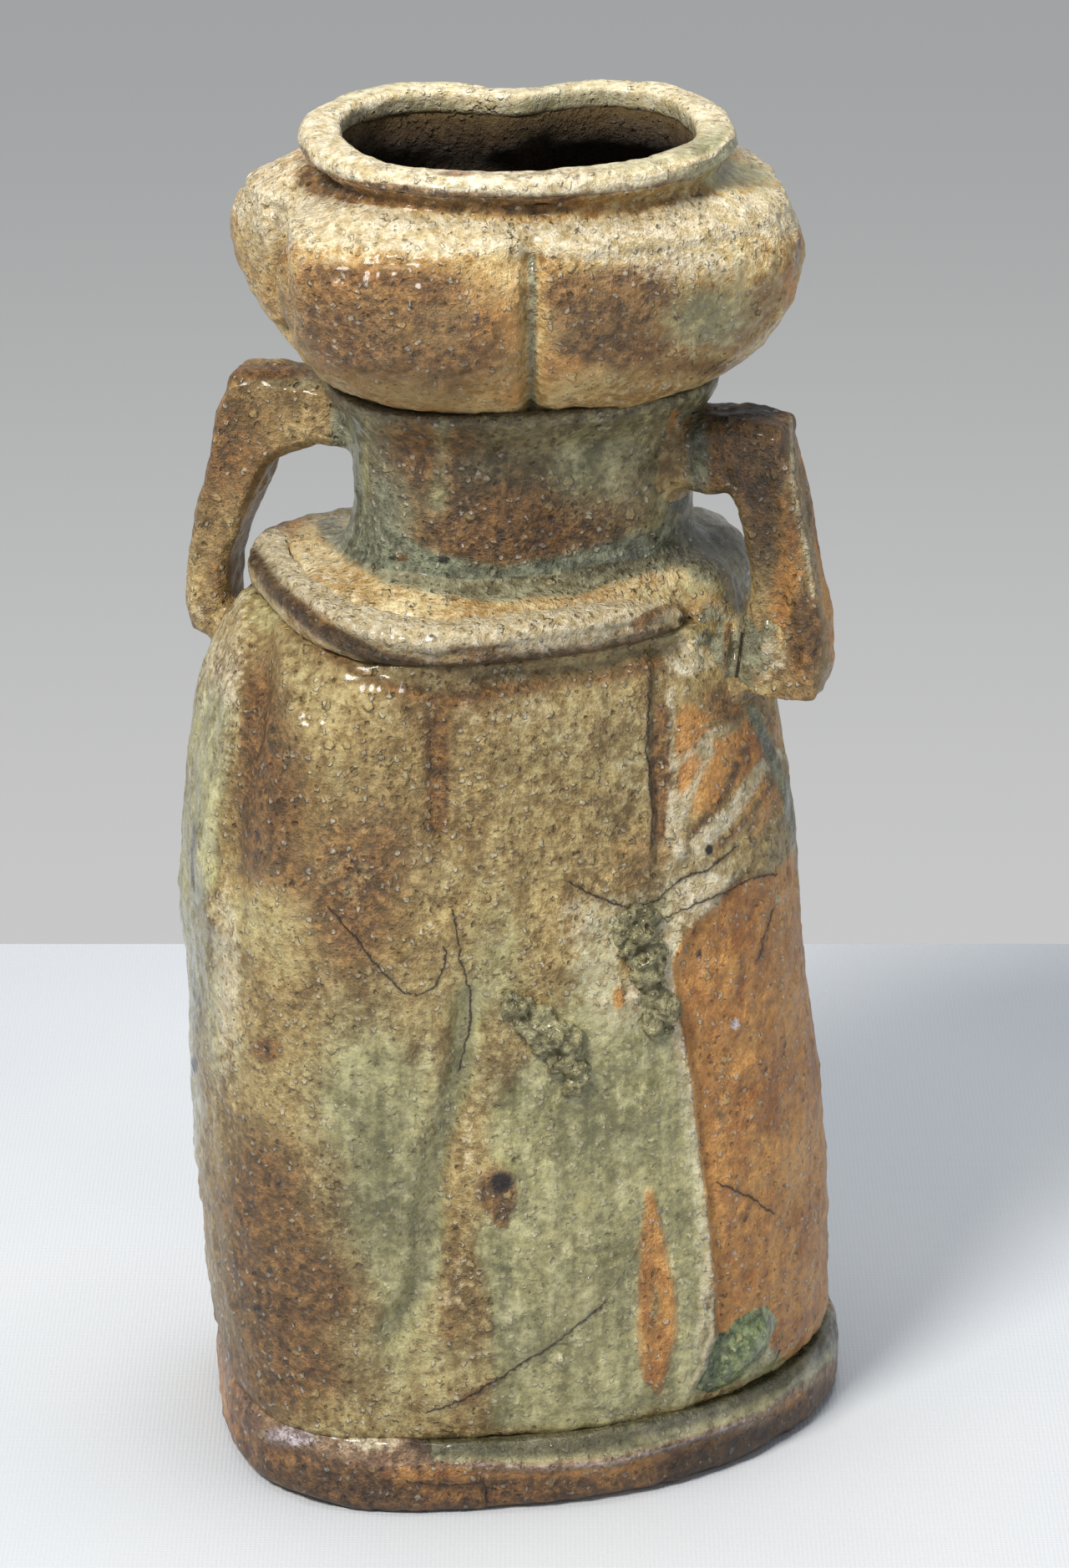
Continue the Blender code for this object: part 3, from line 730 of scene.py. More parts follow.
# %% The order of the layers
def dry_colours(clay, ground):
    """The clay's ground, scorched brown, dry ash and bare clay."""
    mottled = (clay.middle * 0.5 + clay.broad * 0.5).step(0.34, 0.62)
    colour = clay.mix(mottled, ground[0], ground[1])
    sandy = (clay.small * 0.5 + clay.broad * 0.3 + clay.runs * 0.2).step(0.42, 0.64)
    colour = clay.mix(sandy, colour, ground[2])
    brown = clay.mix((clay.small * 0.5 + clay.other * 0.5).step(0.38, 0.64), SCORCH, SCORCH_LIGHT)
    colour = clay.mix(clay.laid("brown") * 0.85, colour, brown)
    cream = clay.mix((clay.other * 0.5 + clay.small * 0.5).step(0.36, 0.62), ASH_WARM, ASH)
    colour = clay.mix(clay.laid("cream") * 0.85, colour, cream)
    burnt = (clay.other * 0.35 + clay.runs * 0.30 + clay.broad * 0.35).step(0.38, 0.60)
    return clay.mix(clay.laid("orange", 0.9, 0.12) * 0.90, colour, clay.mix(burnt, RUST, ORANGE))


def glassy_colours(clay, colour, green, slate):
    """Green glass, grey-green film, lilac bloom and black specks, which in a few marks are painted shadow,
    over what lies below them.
    """
    thick = (clay.broad * 0.4 + clay.runs * 0.3 + clay.small * 0.3).step(0.40, 0.60)
    milky = (clay.middle * 0.3 + clay.runs * 0.3 + clay.other * 0.4).step(0.46, 0.66)
    leaf = clay.mix(milky, clay.mix(thick, LEAF_DARK, LEAF), LEAF_PALE)
    colour = clay.mix(green * 0.78, colour, leaf)
    film = clay.mix((clay.middle * 0.6 + clay.small * 0.4).step(0.38, 0.62), FILM_DARK, FILM)
    colour = clay.mix(slate * 0.80, colour, film)
    lilac = clay.mix(clay.small.step(0.35, 0.65), LILAC_DARK, LILAC)
    colour = clay.mix(clay.laid("violet", 0.8) * 0.85, colour, lilac)
    return clay.mix(clay.laid("dark", 0.6), colour, SOOT_AND_SHADOW)


print("layers over the ground:", len(FINISHES) + 1)

# %% [markdown]
# Crumbs are cells of a Voronoi texture. Each cell has a value of luck of its own, which says
# whether it is a pale grain, a golden speck, a pit or nothing. A crack is dark where its field
# comes near zero, and noise breaks it up and lets a brown stain spread beside it.

# %% Crumbs and cracks
class Grit(NamedTuple):
    grains: Value
    pits: Value
    gold: Value
    peck: Value


def crumbs(clay, spacing, low, high):
    """Crumbs of uneven outline: where they are, and a value of luck for each of them."""
    cell = {"Vector": clay.shaken, "Scale": 1 / spacing, "Randomness": 1.0}
    away = clay.node("ShaderNodeTexVoronoi", {}, cell, output="Distance")
    luck = clay.node("ShaderNodeTexVoronoi", {}, cell, output="Color")
    luck = clay.node("ShaderNodeSeparateColor", {}, {0: luck})
    return 1 - (away - luck * 0.16).step(low, high), luck


def scattered_grit(clay):
    big, big_luck = crumbs(clay, 0.0040, 0.02, 0.18)
    fine, fine_luck = crumbs(clay, 0.0016, 0.08, 0.30)
    return Grit(
        grains=big * big_luck.step(0.76, 0.82),
        pits=big * (1 - big_luck.step(0.26, 0.30)),
        gold=fine * fine_luck.step(0.70, 0.80),
        peck=fine * (1 - fine_luck.step(0.24, 0.32)),
    )


def cracks_and_stain(clay):
    gap = (clay.attribute("crack") + (clay.small - 0.5) * 1.3 + (clay.other - 0.5) * 1.6).size()
    near = clay.attribute("crack_near")
    broken = near.step(0.2, 0.5) * (clay.middle * 0.5 + clay.small * 0.5).step(0.38, 0.50)
    return (1 - gap.step(0.05, 0.24)) * broken, (1 - gap.step(0.1, 1.3)) * broken


print("kinds of grit:", *Grit._fields)

# %% [markdown]
# Now the layers come together in one material, and painted shade darkens them where light
# falls less. Glass is smooth and shines, dry ash is rough, and the inside of a hollow is
# painted dark as its shade and made dull. The same noises that colour the clay also raise it,
# through one Bump node. Only colour, roughness, coat weight and normal vary.

# %% Fired clay
BUMP_DEPTH = 0.0017


def fired_clay(name, ground=GROUND, glaze_gloss=0.75, grain=1.0):
    """Coarse clay with every mark of the fire and the painted shade, read from the skin's fields."""
    clay = FiredClay(name)
    green = clay.laid("green", 1.2, 0.26)
    slate = clay.laid("slate", 1.0)
    colour = glassy_colours(clay, dry_colours(clay, ground), green, slate)
    dry = 1 - green * 0.35  # glass covers some of the crumbs
    grit = scattered_grit(clay)
    colour = clay.mix(grit.grains * dry * 0.40, colour, ASH_WARM)
    colour = clay.mix(grit.gold * dry * 0.42, colour, ASH)
    colour = clay.mix(grit.pits * dry * 0.46, colour, SCORCH)
    colour = clay.mix(grit.peck * dry * 0.34, colour, SCORCH)
    uneven = clay.tiny.step(0.28, 0.72) * 0.26 + clay.small.step(0.28, 0.72) * 0.42 - 0.34
    # the "shade" field darkens the colour here as painted shade
    colour = clay.darken(colour, (1 + uneven * dry) * (1 - clay.attribute("shade") * 0.70))
    crack, stain = cracks_and_stain(clay)
    colour = clay.mix(stain * 0.34, colour, SCORCH)
    colour = clay.mix(crack * 0.78, colour, SOOT_AND_SHADOW)
    # painted shade inside the hollow, darker deeper down; the hollow is also made dull
    inner = clay.attribute("inner")
    hollow = clay.mix(inner.step(0.70, 1.0), INNER_SHADE_SOFT, INNER_SHADE_DEEP)
    hollow = clay.darken(hollow, 0.5 + clay.middle)
    colour = clay.mix(inner.step(0.1, 0.6) * 0.94, colour, hollow)

    glassy = green * glaze_gloss + slate * 0.45 + clay.attribute("gloss")
    roughness = 0.46 - glassy * 0.24 + (clay.small - 0.5) * 0.50 - grit.gold * 0.18 + inner * 0.5
    coat = 0.24 + glassy * 0.46 + grit.gold * 0.3 - inner * 0.8
    height = clay.small * 0.75 + clay.tiny * 0.40 + clay.other * 0.40 + clay.middle * 0.30
    height = height + grit.grains * 0.5 + grit.gold * 0.40 - grit.pits * 0.7 - grit.peck * 0.45
    height = height * (1 - green * 0.55) * grain - crack * 1.6
    raised = {"Strength": 1.0, "Distance": BUMP_DEPTH, "Height": height}
    bump = clay.node("ShaderNodeBump", {}, raised, output="Normal")
    links = {"Base Color": colour, "Roughness": roughness, "Coat Weight": coat, "Normal": bump}
    clay.join(clay.shader, links)
    clay.join(clay.shader, {"Coat Roughness": 0.12, "Specular IOR Level": 0.42})
    print("finish", name, "with", len(clay.tree.nodes), "nodes")
    return clay.material


def dress(piece, material, slot, *nodes):
    """Gives a skin its finish and its place on the body, and hides the solids that it stands for."""
    piece.data.materials.clear()
    piece.data.materials.append(material)
    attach(piece, "root")
    if nodes:
        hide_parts(*nodes)
    print(piece.name, len(piece.data.polygons), "faces")


# %% [markdown]
# ## The body
#
# The body is a four-sided wall, pressed in with the hand at the front. Three things on it are
# deep enough to be real relief: the ledge where the green glaze ends, the long valley beside
# it, and the cut at the upper right. Their lines are named, because the colours follow them.

# %% Relief of the body
LEDGE_OF_GLAZE = (
    (866, 1064), (826, 1113), (805, 1156), (810, 1202), (820, 1248), (829, 1294), (832, 1334),
    (846, 1441), (855, 1530), (857, 1594), (843, 1637), (829, 1662),
)
LEFT_CREASE = ((302, 690), (286, 850), (275, 899), (262, 970), (255, 1022), (262, 1090))
RIGHT_CUT = ((779, 800), (777, 850), (774, 896), (778, 930), (782, 972), (779, 1015))
VALLEY = ((562, 1200), (552, 1280), (521, 1405), (507, 1530), (471, 1594))
BEADS = ((760, 1190), (814, 1018), (611, 1582), (671, 1628), (881, 1226))
UNDER_ROLL = (  # the hollow under the coil of the shoulder
    (303, 696), (326, 712), (381, 760), (454, 803), (537, 824), (617, 808), (726, 795), (817, 768),
)
BODY_PRESSES = (
    Ledge(LEDGE_OF_GLAZE, 30, 0.0015, 3.0),
    Groove(shifted(LEDGE_OF_GLAZE[3:], 7), 4, 0.0007),
    Ledge(RIGHT_CUT, 46, 0.0018, 3.0),
    Ledge(LEFT_CREASE, 26, 0.0018, 6.0),
    Groove(((318, 700), (302, 850), (292, 905), (280, 970), (272, 1020), (282, 1090)), 12, 0.0012),
    Groove(((325, 720), (300, 850), (292, 960), (285, 1050)), 20, 0.0012),
    Groove(((332, 750), (352, 850), (380, 960), (388, 1060)), 12, -0.0009),
    Groove(VALLEY, 16, 0.0016),
    Groove(shifted(VALLEY, -28), 12, -0.0007),
    Groove(((523, 850), (524, 1005)), 12, 0.0014),
    Groove(((574, 840), (590, 960), (612, 1060)), 18, -0.0007),
    Groove(((622, 1120), (640, 1150), (690, 1160), (740, 1130)), 14, -0.0006),
    Groove(((664, 1330), (660, 1615)), 9, -0.0006),
    Groove(((780, 1425), (786, 1500), (794, 1655)), 15, 0.0005),
    Groove(((596, 1400), (598, 1428)), 16, -0.0007),
    *(Groove(((x, y - 2), (x, y + 2)), 7, -0.0010) for x, y in BEADS),
    Groove(UNDER_ROLL, 13, 0.0014),
)
print("presses on the body:", len(BODY_PRESSES))

# %% [markdown]
# Thick glaze shrinks more than the clay below it and tears. These are the larger cracks. Each
# is a line in the photograph's pixels, and the last one runs along the cut in the wall.

# %% Cracks of the body
BODY_CRACKS = (
    ((395, 1088), (427, 1123), (453, 1158), (481, 1186), (498, 1194), (521, 1180), (533, 1157),
     (533, 1137)),
    ((544, 1094), (547, 1117), (553, 1154), (564, 1189), (562, 1237), (549, 1280)),
    ((685, 1058), (713, 1073), (756, 1089), (786, 1078), (814, 1052), (845, 1043), (881, 1015)),
    ((799, 1098), (829, 1084), (866, 1070), (897, 1052), (927, 1046)),
    ((926, 1089), (915, 1125), (906, 1150)),
    ((861, 1417), (896, 1432), (925, 1451)),
    ((718, 1566), (664, 1609), (618, 1637), (557, 1676), (514, 1691)),
    ((234, 988), (230, 1030), (232, 1065)),
    RIGHT_CUT,
)
print("cracks in the body:", len(BODY_CRACKS))

# %% [markdown]
# The front tells the fire's story from left to right: scorched brown at the left, a run of
# green glass in the middle with a drip spot, and at the right a face of bare orange clay that
# the ash never reached. The patches at the end are guesses for the sides and the back.

# %% Colours of the body
BARE_FACE = (
    (866, 1066), (897, 1052), (930, 1046), (958, 1010), (990, 1010), (1015, 1300), (1015, 1645),
    (960, 1655), (900, 1598), (857, 1594), (855, 1530), (846, 1441), (832, 1334), (829, 1294),
    (820, 1248), (810, 1202), (805, 1156), (826, 1113),
)
GREEN_RUN = (
    (690, 1085), (790, 1090), (806, 1170), (829, 1294), (846, 1441), (857, 1594), (829, 1664),
    (700, 1710), (600, 1700), (610, 1600), (575, 1480), (600, 1330), (655, 1270), (680, 1180),
)
TORN_PIT = Spot("dark", (822, 744), 11, 10, 1.0)  # the pit at the torn end of the coil, painted black as the shadow in it
BODY_MARKS = (
    Spot("brown", (420, 1000), 120, 160, 0.25),
    Spot("orange", (640, 960), 60, 60, 0.14),
    Spot("green", (560, 1200), 60, 60, 0.30),
    Spot("brown", (300, 1500), 70, 160, 0.45),
    Spot("brown", (330, 1650), 120, 60, 0.55),
    Spot("brown", (350, 1545), 80, 45, 0.75),
    Spot("green", (480, 1470), 50, 150, 0.65),
    Spot("green", (430, 1300), 70, 120, 0.40),
    Spot("green", (600, 1130), 60, 60, 0.35),
    Area("orange", ((303, 765), (330, 760), (372, 900), (380, 1040), (330, 1075), (280, 1060),
                    (272, 930)), 26, 0.36),
    Area("brown", ((303, 765), (330, 760), (360, 900), (360, 1060), (276, 1060), (280, 880)), 22, 0.42),
    Spot("brown", (300, 840), 26, 60, 0.35),
    # painted shade over the left face
    Area("shade", ((298, 765), (330, 760), (360, 900), (360, 1040), (276, 1050), (276, 900)), 20, 0.30),
    Area("green", GREEN_RUN, 22, 0.80),
    Area("cream", ((665, 1075), (700, 1068), (760, 1085), (800, 1100), (806, 1160), (790, 1240),
                   (740, 1260), (690, 1220)), 22, 0.55),
    Streak("cream", ((664, 1345), (660, 1600)), 9, 0.45),
    Streak("cream", ((712, 1290), (718, 1500)), 10, 0.35),
    Streak("cream", shifted(LEDGE_OF_GLAZE[2:], -3), 3, 0.85),
    Streak("brown", ((777, 1468), (750, 1516), (718, 1566)), 3, 0.5),
    Streak("brown", ((718, 1566), (664, 1609), (618, 1637), (557, 1676)), 7, 0.35),
    # painted shade low in the run
    Spot("shade", (636, 1610), 22, 40, 0.30),
    Streak("brown", ((545, 1470), (535, 1600)), 12, 0.25),
    # painted shade along the valley
    Spot("shade", (500, 1460), 26, 90, 0.20),
    Streak("cream", ((560, 1330), (545, 1560)), 14, 0.30),
    TORN_PIT,
    Area("orange", BARE_FACE, 5, 1.0),
    Spot("brown", (890, 1120), 50, 40, 0.58),
    Streak("brown", ((846, 1200), (856, 1300), (868, 1400)), 15, 0.35),
    Spot("cream", (930, 1510), 46, 60, 0.22),
    Spot("cream", (900, 1610), 50, 26, 0.25),
    Streak("brown", ((845, 1110), (826, 1150), (830, 1200)), 12, 0.40),
    Spot("cream", (940, 1360), 16, 40, 0.25),
    Spot("brown", (930, 1420), 40, 50, 0.40),
    Spot("brown", (880, 1560), 50, 50, 0.35),
    Spot("brown", (850, 1250), 20, 60, 0.25),
    Area("orange", ((770, 1416), (786, 1422), (797, 1470), (808, 1520), (814, 1590), (802, 1640),
                    (790, 1670), (766, 1652), (760, 1590), (764, 1500)), 9, 0.86),
    Streak("brown", ((776, 1440), (782, 1520), (786, 1650)), 9, 0.45),
    Spot("cream", (790, 1560), 12, 40, 0.35),
    Streak("cream", ((795, 1110), (796, 1160), (808, 1240), (818, 1320), (834, 1440), (842, 1540),
                     (838, 1620)), 8, 0.60),
    Spot("green", (730, 1300), 70, 60, 0.30),
    Streak("green", ((690, 1340), (700, 1480), (690, 1600)), 12, 0.30),
    Streak("brown", ((840, 1180), (850, 1260), (862, 1330)), 14, 0.30),
    Spot("orange", (750, 1144), 10, 26, 0.9),
    Spot("brown", (748, 1150), 6, 20, 0.7),
    Spot("orange", (741, 1195), 8, 16, 0.8),
    Area("orange", ((785, 840), (900, 830), (930, 880), (945, 960), (905, 1000), (830, 960),
                    (790, 930)), 20, 0.50),
    Streak("brown", ((830, 1000), (870, 950), (890, 900)), 9, 0.55),
    Streak("brown", ((860, 1010), (900, 975), (930, 930)), 7, 0.50),
    Streak("cream", ((838, 1010), (880, 968), (908, 925), (930, 905)), 11, 0.75),
    Streak("cream", ((812, 915), (850, 880), (880, 868)), 10, 0.50),
    Streak("cream", ((806, 985), (832, 940), (850, 900)), 10, 0.55),
    Streak("cream", ((803, 830), (803, 1000)), 8, 0.5),
    Streak("brown", ((790, 1000), (800, 930), (795, 850)), 9, 0.60),
    Spot("brown", (870, 850), 30, 30, 0.5),
    Spot("cream", (850, 1075), 30, 26, 0.75),
    Spot("cream", (820, 790), 30, 18, 0.8),
    Spot("cream", (932, 1076), 7, 10, 1.0),
    Spot("cream", (868, 1351), 18, 30, 0.35),
    Spot("brown", (900, 1500), 40, 60, 0.30),
    Spot("brown", (320, 1258), 15, 12, 1.0),
    Spot("brown", (788, 930), 8, 50, 0.9),
    Streak("brown", ((523, 865), (524, 985)), 11, 0.9),
    Spot("brown", (598, 1426), 32, 34, 1.0),
    Streak("brown", ((599, 1430), (602, 1475)), 11, 0.9),
    Streak("green", ((602, 1480), (604, 1600)), 10, 0.8),
    # painted shade along the drip's trail
    Streak("shade", ((602, 1480), (604, 1590)), 8, 0.35),
    Spot("dark", (600, 1415), 18, 17, 0.9),
    *(Spot("cream", bead, 7, 9, 1.0) for bead in BEADS),
    Spot("dark", (849, 1017), 6, 8, 1.0),
    Spot("dark", (308, 1566), 12, 7, 0.7),
    Spot("dark", (350, 1530), 46, 20, 0.30),
    Spot("dark", (232, 1275), 6, 14, 0.9),
    Spot("dark", (837, 1142), 4, 10, 0.8),
    Spot("violet", (880, 1226), 8, 8, 0.9),
    Spot("violet", (840, 1160), 16, 20, 0.4),
    Streak("green", VALLEY, 16, 0.40),
    # painted shade in the valley's crease
    Streak("shade", VALLEY, 11, 0.42),
    Area("green", ((284, 850), (262, 970), (255, 1060), (215, 1100), (235, 860), (250, 820)), 10, 0.75),
    Area("cream", ((300, 690), (286, 850), (262, 970), (255, 1060), (215, 1060), (240, 800),
                   (270, 690)), 8, 0.45),
    Spot("cream", (270, 1200), 16, 160, 0.45),
    Spot("brown", (268, 750), 26, 60, 0.45),
    Spot("cream", (700, 1680), 60, 12, 0.5),
    Spot("green", (960, 1010), 16, 60, 0.6),
    Spot("green", (900, 1628), 44, 22, 0.9),
    Area("slate", ((255, 1060), (246, 1310), (215, 1310), (215, 1060)), 8, 0.55),
    Streak("slate", ((900, 850), (918, 890), (943, 951), (955, 1018), (964, 1095)), 8, 0.9),
    Area("violet", ((962, 1040), (1000, 1040), (1000, 1310), (984, 1290), (970, 1150)), 5, 0.6),
    Streak("brown", shifted(UNDER_ROLL, 0, 16), 9, 0.35),
    # painted shade under the coil
    Streak("shade", shifted(UNDER_ROLL, 0, 3), 10, 0.55),
    # painted shade over broad stretches of the wall, where light falls less
    Spot("shade", (520, 900), 230, 110, 0.22),
    Spot("shade", (430, 1440), 60, 120, 0.46),
    Spot("shade", (700, 1560), 70, 80, 0.22),
    Spot("shade", (700, 900), 60, 110, 0.12),
    Spot("shade", (236, 1200), 12, 110, 0.30),
    Spot("shade", (450, 1200), 120, 120, 0.10),
    Spot("shade", (880, 880), 70, 60, 0.15),
    Spot("shade", (330, 1580), 90, 80, 0.30),
    Spot("shade", (300, 1360), 50, 120, 0.15),
    Patch("orange", 20, 0.110, 30, 0.050, 0.7),
    Patch("orange", 120, 0.060, 35, 0.040, 0.6),
    Patch("green", 75, 0.150, 40, 0.035, 0.7),
    Patch("green", 178, 0.120, 24, 0.060, 0.6),
    Patch("slate", 50, 0.070, 22, 0.060, 0.6),
    Patch("brown", 100, 0.030, 60, 0.018, 0.7),
    Patch("cream", 150, 0.165, 40, 0.018, 0.6),
)
print("marks on the body:", len(BODY_MARKS))

# %% [markdown]
# The skin is a grid of rings less than a millimetre apart, fine enough for the ledge to be
# sharp. At the left the potter smeared the wall's clay down over the foot, so there the lowest
# rings spread to the foot's own outline. The inner face is the outer one less the wall.

# %% The body's skin
COLUMNS = 400
BODY_ROWS = 176
INNER_ROWS = 14
BODY_WALL = 0.0075
TUCK = 0.0002  # a ray keeps this far from a flat end
INTO_NEIGHBOUR = 0.0012  # a skin reaches so far into the next member that no light comes between
END_DRAWN_IN = 0.0004
ALL_IN_SHADE = 0.1  # added to a height, so that painted shade covers the inner side all the way up
SMEAR_FROM = 168  # degrees: here the wall's clay is smeared down over the foot
SMEAR_TO = 246
SMEAR_FADE = 12
SMEAR_RISE = 0.0055
SHORT_OF_FOOT = 0.0006  # the smeared clay ends this far inside the foot's outline
BELOW_FOOT_TOP = 0.002


def reach_into(radii, heights, drawn_in=0.0):
    """Adds a row at both ends of a wall, which carries it on into its neighbours."""
    heights = np.concatenate([[heights[0] - INTO_NEIGHBOUR], heights, [heights[-1] + INTO_NEIGHBOUR]])
    return np.concatenate([radii[:1] - drawn_in, radii, radii[-1:] - drawn_in]), heights


low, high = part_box("body_wall")
heights = np.linspace(low.z + TUCK, high.z - TUCK, BODY_ROWS)
radii, centre = read_radii("body_wall", heights, COLUMNS)
radii = soften(radii, 12, 3)
foot_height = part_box("foot_slab")[1].z - BELOW_FOOT_TOP
foot_radii = read_radii("foot_slab", [foot_height], COLUMNS, centre=centre)[0]
bearings = np.arange(COLUMNS) * 360 / COLUMNS
smeared = np.clip((bearings - SMEAR_FROM) / SMEAR_FADE, 0, 1)
smeared *= np.clip((SMEAR_TO - bearings) / SMEAR_FADE, 0, 1)
down = np.exp(-((heights - heights[0]) / SMEAR_RISE) ** 2)[:, None]
radii = radii + (foot_radii - SHORT_OF_FOOT - radii[0]) * smeared * down
radii, heights = reach_into(radii, heights, END_DRAWN_IN)
inner_heights = np.linspace(high.z + INTO_NEIGHBOUR, low.z, INNER_ROWS)
same_row = np.round(np.interp(inner_heights, heights, np.arange(len(heights)))).astype(int)
inner_rows = ring_rows(radii[same_row] - BODY_WALL, centre, inner_heights)
body = ring_skin("body_skin", np.concatenate([ring_rows(radii, centre, heights), inner_rows]))
work_clay(body, 0.0007, 0.00036, BODY_PRESSES)
body_base = {"cream": 0.20, "brown": 0.26, "orange": 0.14, "green": 0.26, "slate": 0.08}
fire(body, body_base, BODY_MARKS, BODY_CRACKS, inner_top=high.z + ALL_IN_SHADE)
dress(body, fired_clay("fired_clay"), "wall_clay", "body_wall")

# %% [markdown]
# ## The foot
#
# The foot is read in the same way as the body, and closes underneath with rings that shrink to
# the middle. Glass ran down into the groove above its band. At the left the wall's clay was
# smeared down over it, so the groove ends there.

# %% Marks of the foot
FOOT_CRACKS = (
    ((503, 1685), (505, 1714)),
    ((489, 1774), (530, 1778), (576, 1776)),
    ((580, 1772), (583, 1800)),
)
FOOT_GROOVE = (
    (503, 1718), (600, 1718), (684, 1713), (796, 1685), (880, 1662), (937, 1637), (993, 1584),
)
FOOT_SIDE = (  # the side of the foot below its band
    (560, 1764), (735, 1760), (819, 1736), (909, 1704), (1010, 1640), (1020, 1840),
)
FOOT_PRESSES = (
    Groove(FOOT_GROOVE, 7, 0.0010),
    Groove(((560, 1752), (640, 1756), (735, 1747), (819, 1724), (909, 1690), (965, 1637)), 9, -0.0008),
    Groove(((470, 1782), (560, 1786), (620, 1782)), 6, 0.0005),
    Groove(((290, 1712), (330, 1742), (372, 1740)), 8, 0.0007),
)
FOOT_MARKS = (
    Area("orange", ((560, 1758), (640, 1760), (735, 1756), (819, 1732), (909, 1700), (960, 1660),
                    (1000, 1700), (900, 1800), (600, 1830), (400, 1830), (300, 1770)), 8, 0.58),
    Area("brown", ((250, 1660), (300, 1700), (420, 1745), (500, 1800), (430, 1830), (300, 1790),
                   (250, 1720)), 16, 0.65),
    Spot("brown", (900, 1760), 80, 30, 0.6),
    Spot("cream", (440, 1722), 40, 20, 0.65),
    Spot("cream", (880, 1705), 50, 10, 0.55),
    Streak("violet", ((560, 1752), (640, 1757), (735, 1751), (819, 1728), (909, 1694)), 4, 0.6),
    Area("green", ((503, 1700), (684, 1700), (796, 1672), (900, 1640), (993, 1575), (1000, 1620),
                   (909, 1688), (819, 1718), (735, 1742), (640, 1750), (520, 1745)), 8, 0.95),
    Spot("violet", (350, 1719), 40, 15, 1.0),
    # painted shade on the band under the groove
    Spot("shade", (690, 1732), 120, 12, 0.45),
    Spot("violet", (470, 1790), 30, 8, 0.6),
    # painted shade on the side below the band
    Area("shade", ((230, 1750), *FOOT_SIDE, (230, 1840)), 8, 0.62),
    Area("brown", ((330, 1755), *FOOT_SIDE, (330, 1840)), 10, 0.55),
    # painted shade on the right of the foot and along its groove, and a painted dark line of shade in the
    # groove
    Spot("shade", (900, 1745), 120, 44, 0.80),
    Streak("shade", shifted(FOOT_GROOVE, 0, -5), 10, 0.9),
    Streak("shade", shifted(FOOT_GROOVE, 0, 6), 13, 1.0),
    Streak("shade", shifted(FOOT_GROOVE, 0, 15), 14, 0.90),
    Streak("dark", shifted(FOOT_GROOVE[:6], 0, -2), 4, 0.45),
    Patch("green", 60, 0.014, 50, 0.006, 0.7),
    Patch("orange", 170, 0.006, 60, 0.008, 0.6),
)
print("marks on the foot:", len(FOOT_MARKS))

# %% [markdown]
# The foot stands flat on the table: after the clay has been worked, no point of the skin is
# left below the solid's underside.

# %% The foot's skin
FOOT_ROWS = 30
CLOSING_SHARES = (0.02, 0.3, 0.6, 0.85)  # rings that close its two flat sides

low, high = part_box("foot_slab")
heights = np.linspace(low.z + TUCK, high.z - TUCK, FOOT_ROWS)
radii, centre = read_radii("foot_slab", heights, COLUMNS)
radii = soften(radii, 14, 0)
bottom = np.array([radii[0] * share for share in CLOSING_SHARES])
top = np.array([radii[-1] * share for share in CLOSING_SHARES[::-1]])
rows = np.concatenate([
    ring_rows(bottom, centre, np.full(len(bottom), low.z)),
    ring_rows(radii, centre, heights),
    ring_rows(top, centre, np.full(len(top), high.z)),
])
foot = ring_skin("foot_skin", rows, closed=False)
work_clay(foot, 0.0006, 0.00028, FOOT_PRESSES)
points, _ = points_and_normals(foot)
points[:, 2] = np.maximum(points[:, 2], low.z)
set_points(foot, points)
foot_base = {"cream": 0.12, "brown": 0.34, "orange": 0.30, "green": 0.18, "slate": 0.10}
fire(foot, foot_base, FOOT_MARKS, FOOT_CRACKS)
foot_finish = fired_clay("foot_clay", (tone(98, 70, 50), tone(138, 106, 78), tone(172, 146, 116)))
dress(foot, foot_finish, "foot_clay", "foot_slab")

# %% [markdown]
# ## The neck
#
# The neck is a short tube between the shoulder and the bowl. It stood in their lee, so little
# ash fell on it: its ground is a darker, duller brown than the rest of the clay, with grey-green
# film that pooled at its foot, and painted shade darkens it under the bowl.

# %% Marks of the neck
NECK_MARKS = (
    Spot("brown", (640, 600), 140, 80, 0.12),
    Spot("slate", (460, 600), 40, 90, 0.35),
    Area("slate", ((372, 590), (424, 540), (440, 630), (520, 668), (600, 684), (700, 664),
                   (830, 625), (880, 700), (500, 740), (380, 690)), 12, 0.85),
    Streak("slate", ((430, 505), (424, 600), (420, 640)), 12, 0.50),
    Streak("cream", ((434, 505), (428, 610)), 7, 0.40),
    Streak("slate", ((818, 505), (812, 600)), 14, 0.6),
    Streak("green", ((440, 505), (436, 620)), 7, 0.5),
    Spot("slate", (560, 560), 50, 36, 0.35),
    Spot("brown", (510, 540), 50, 40, 0.25),
    Spot("brown", (600, 640), 90, 24, 0.35),
    Spot("brown", (740, 610), 60, 40, 0.20),
    Streak("green", ((530, 505), (524, 600)), 14, 0.30),
    Streak("orange", ((808, 494), (800, 545)), 8, 0.6),
    Spot("brown", (480, 668), 14, 9, 1.0),
    Spot("dark", (530, 670), 8, 6, 0.9),
    Spot("dark", (470, 668), 7, 5, 0.7),
    Spot("green", (690, 560), 50, 50, 0.35),
    # painted shade under the bowl and low on the right
    Spot("shade", (650, 590), 180, 90, 0.32),
    Spot("shade", (790, 660), 80, 24, 0.55),
    Patch("slate", 90, 0.197, 80, 0.008, 0.7),
    Patch("brown", 90, 0.220, 90, 0.012, 0.3),
)
print("marks on the neck:", len(NECK_MARKS))

# %% [markdown]
# The neck spreads into the bowl above it. The last rows of its skin reach a little way into
# both neighbours, so no light comes between them.

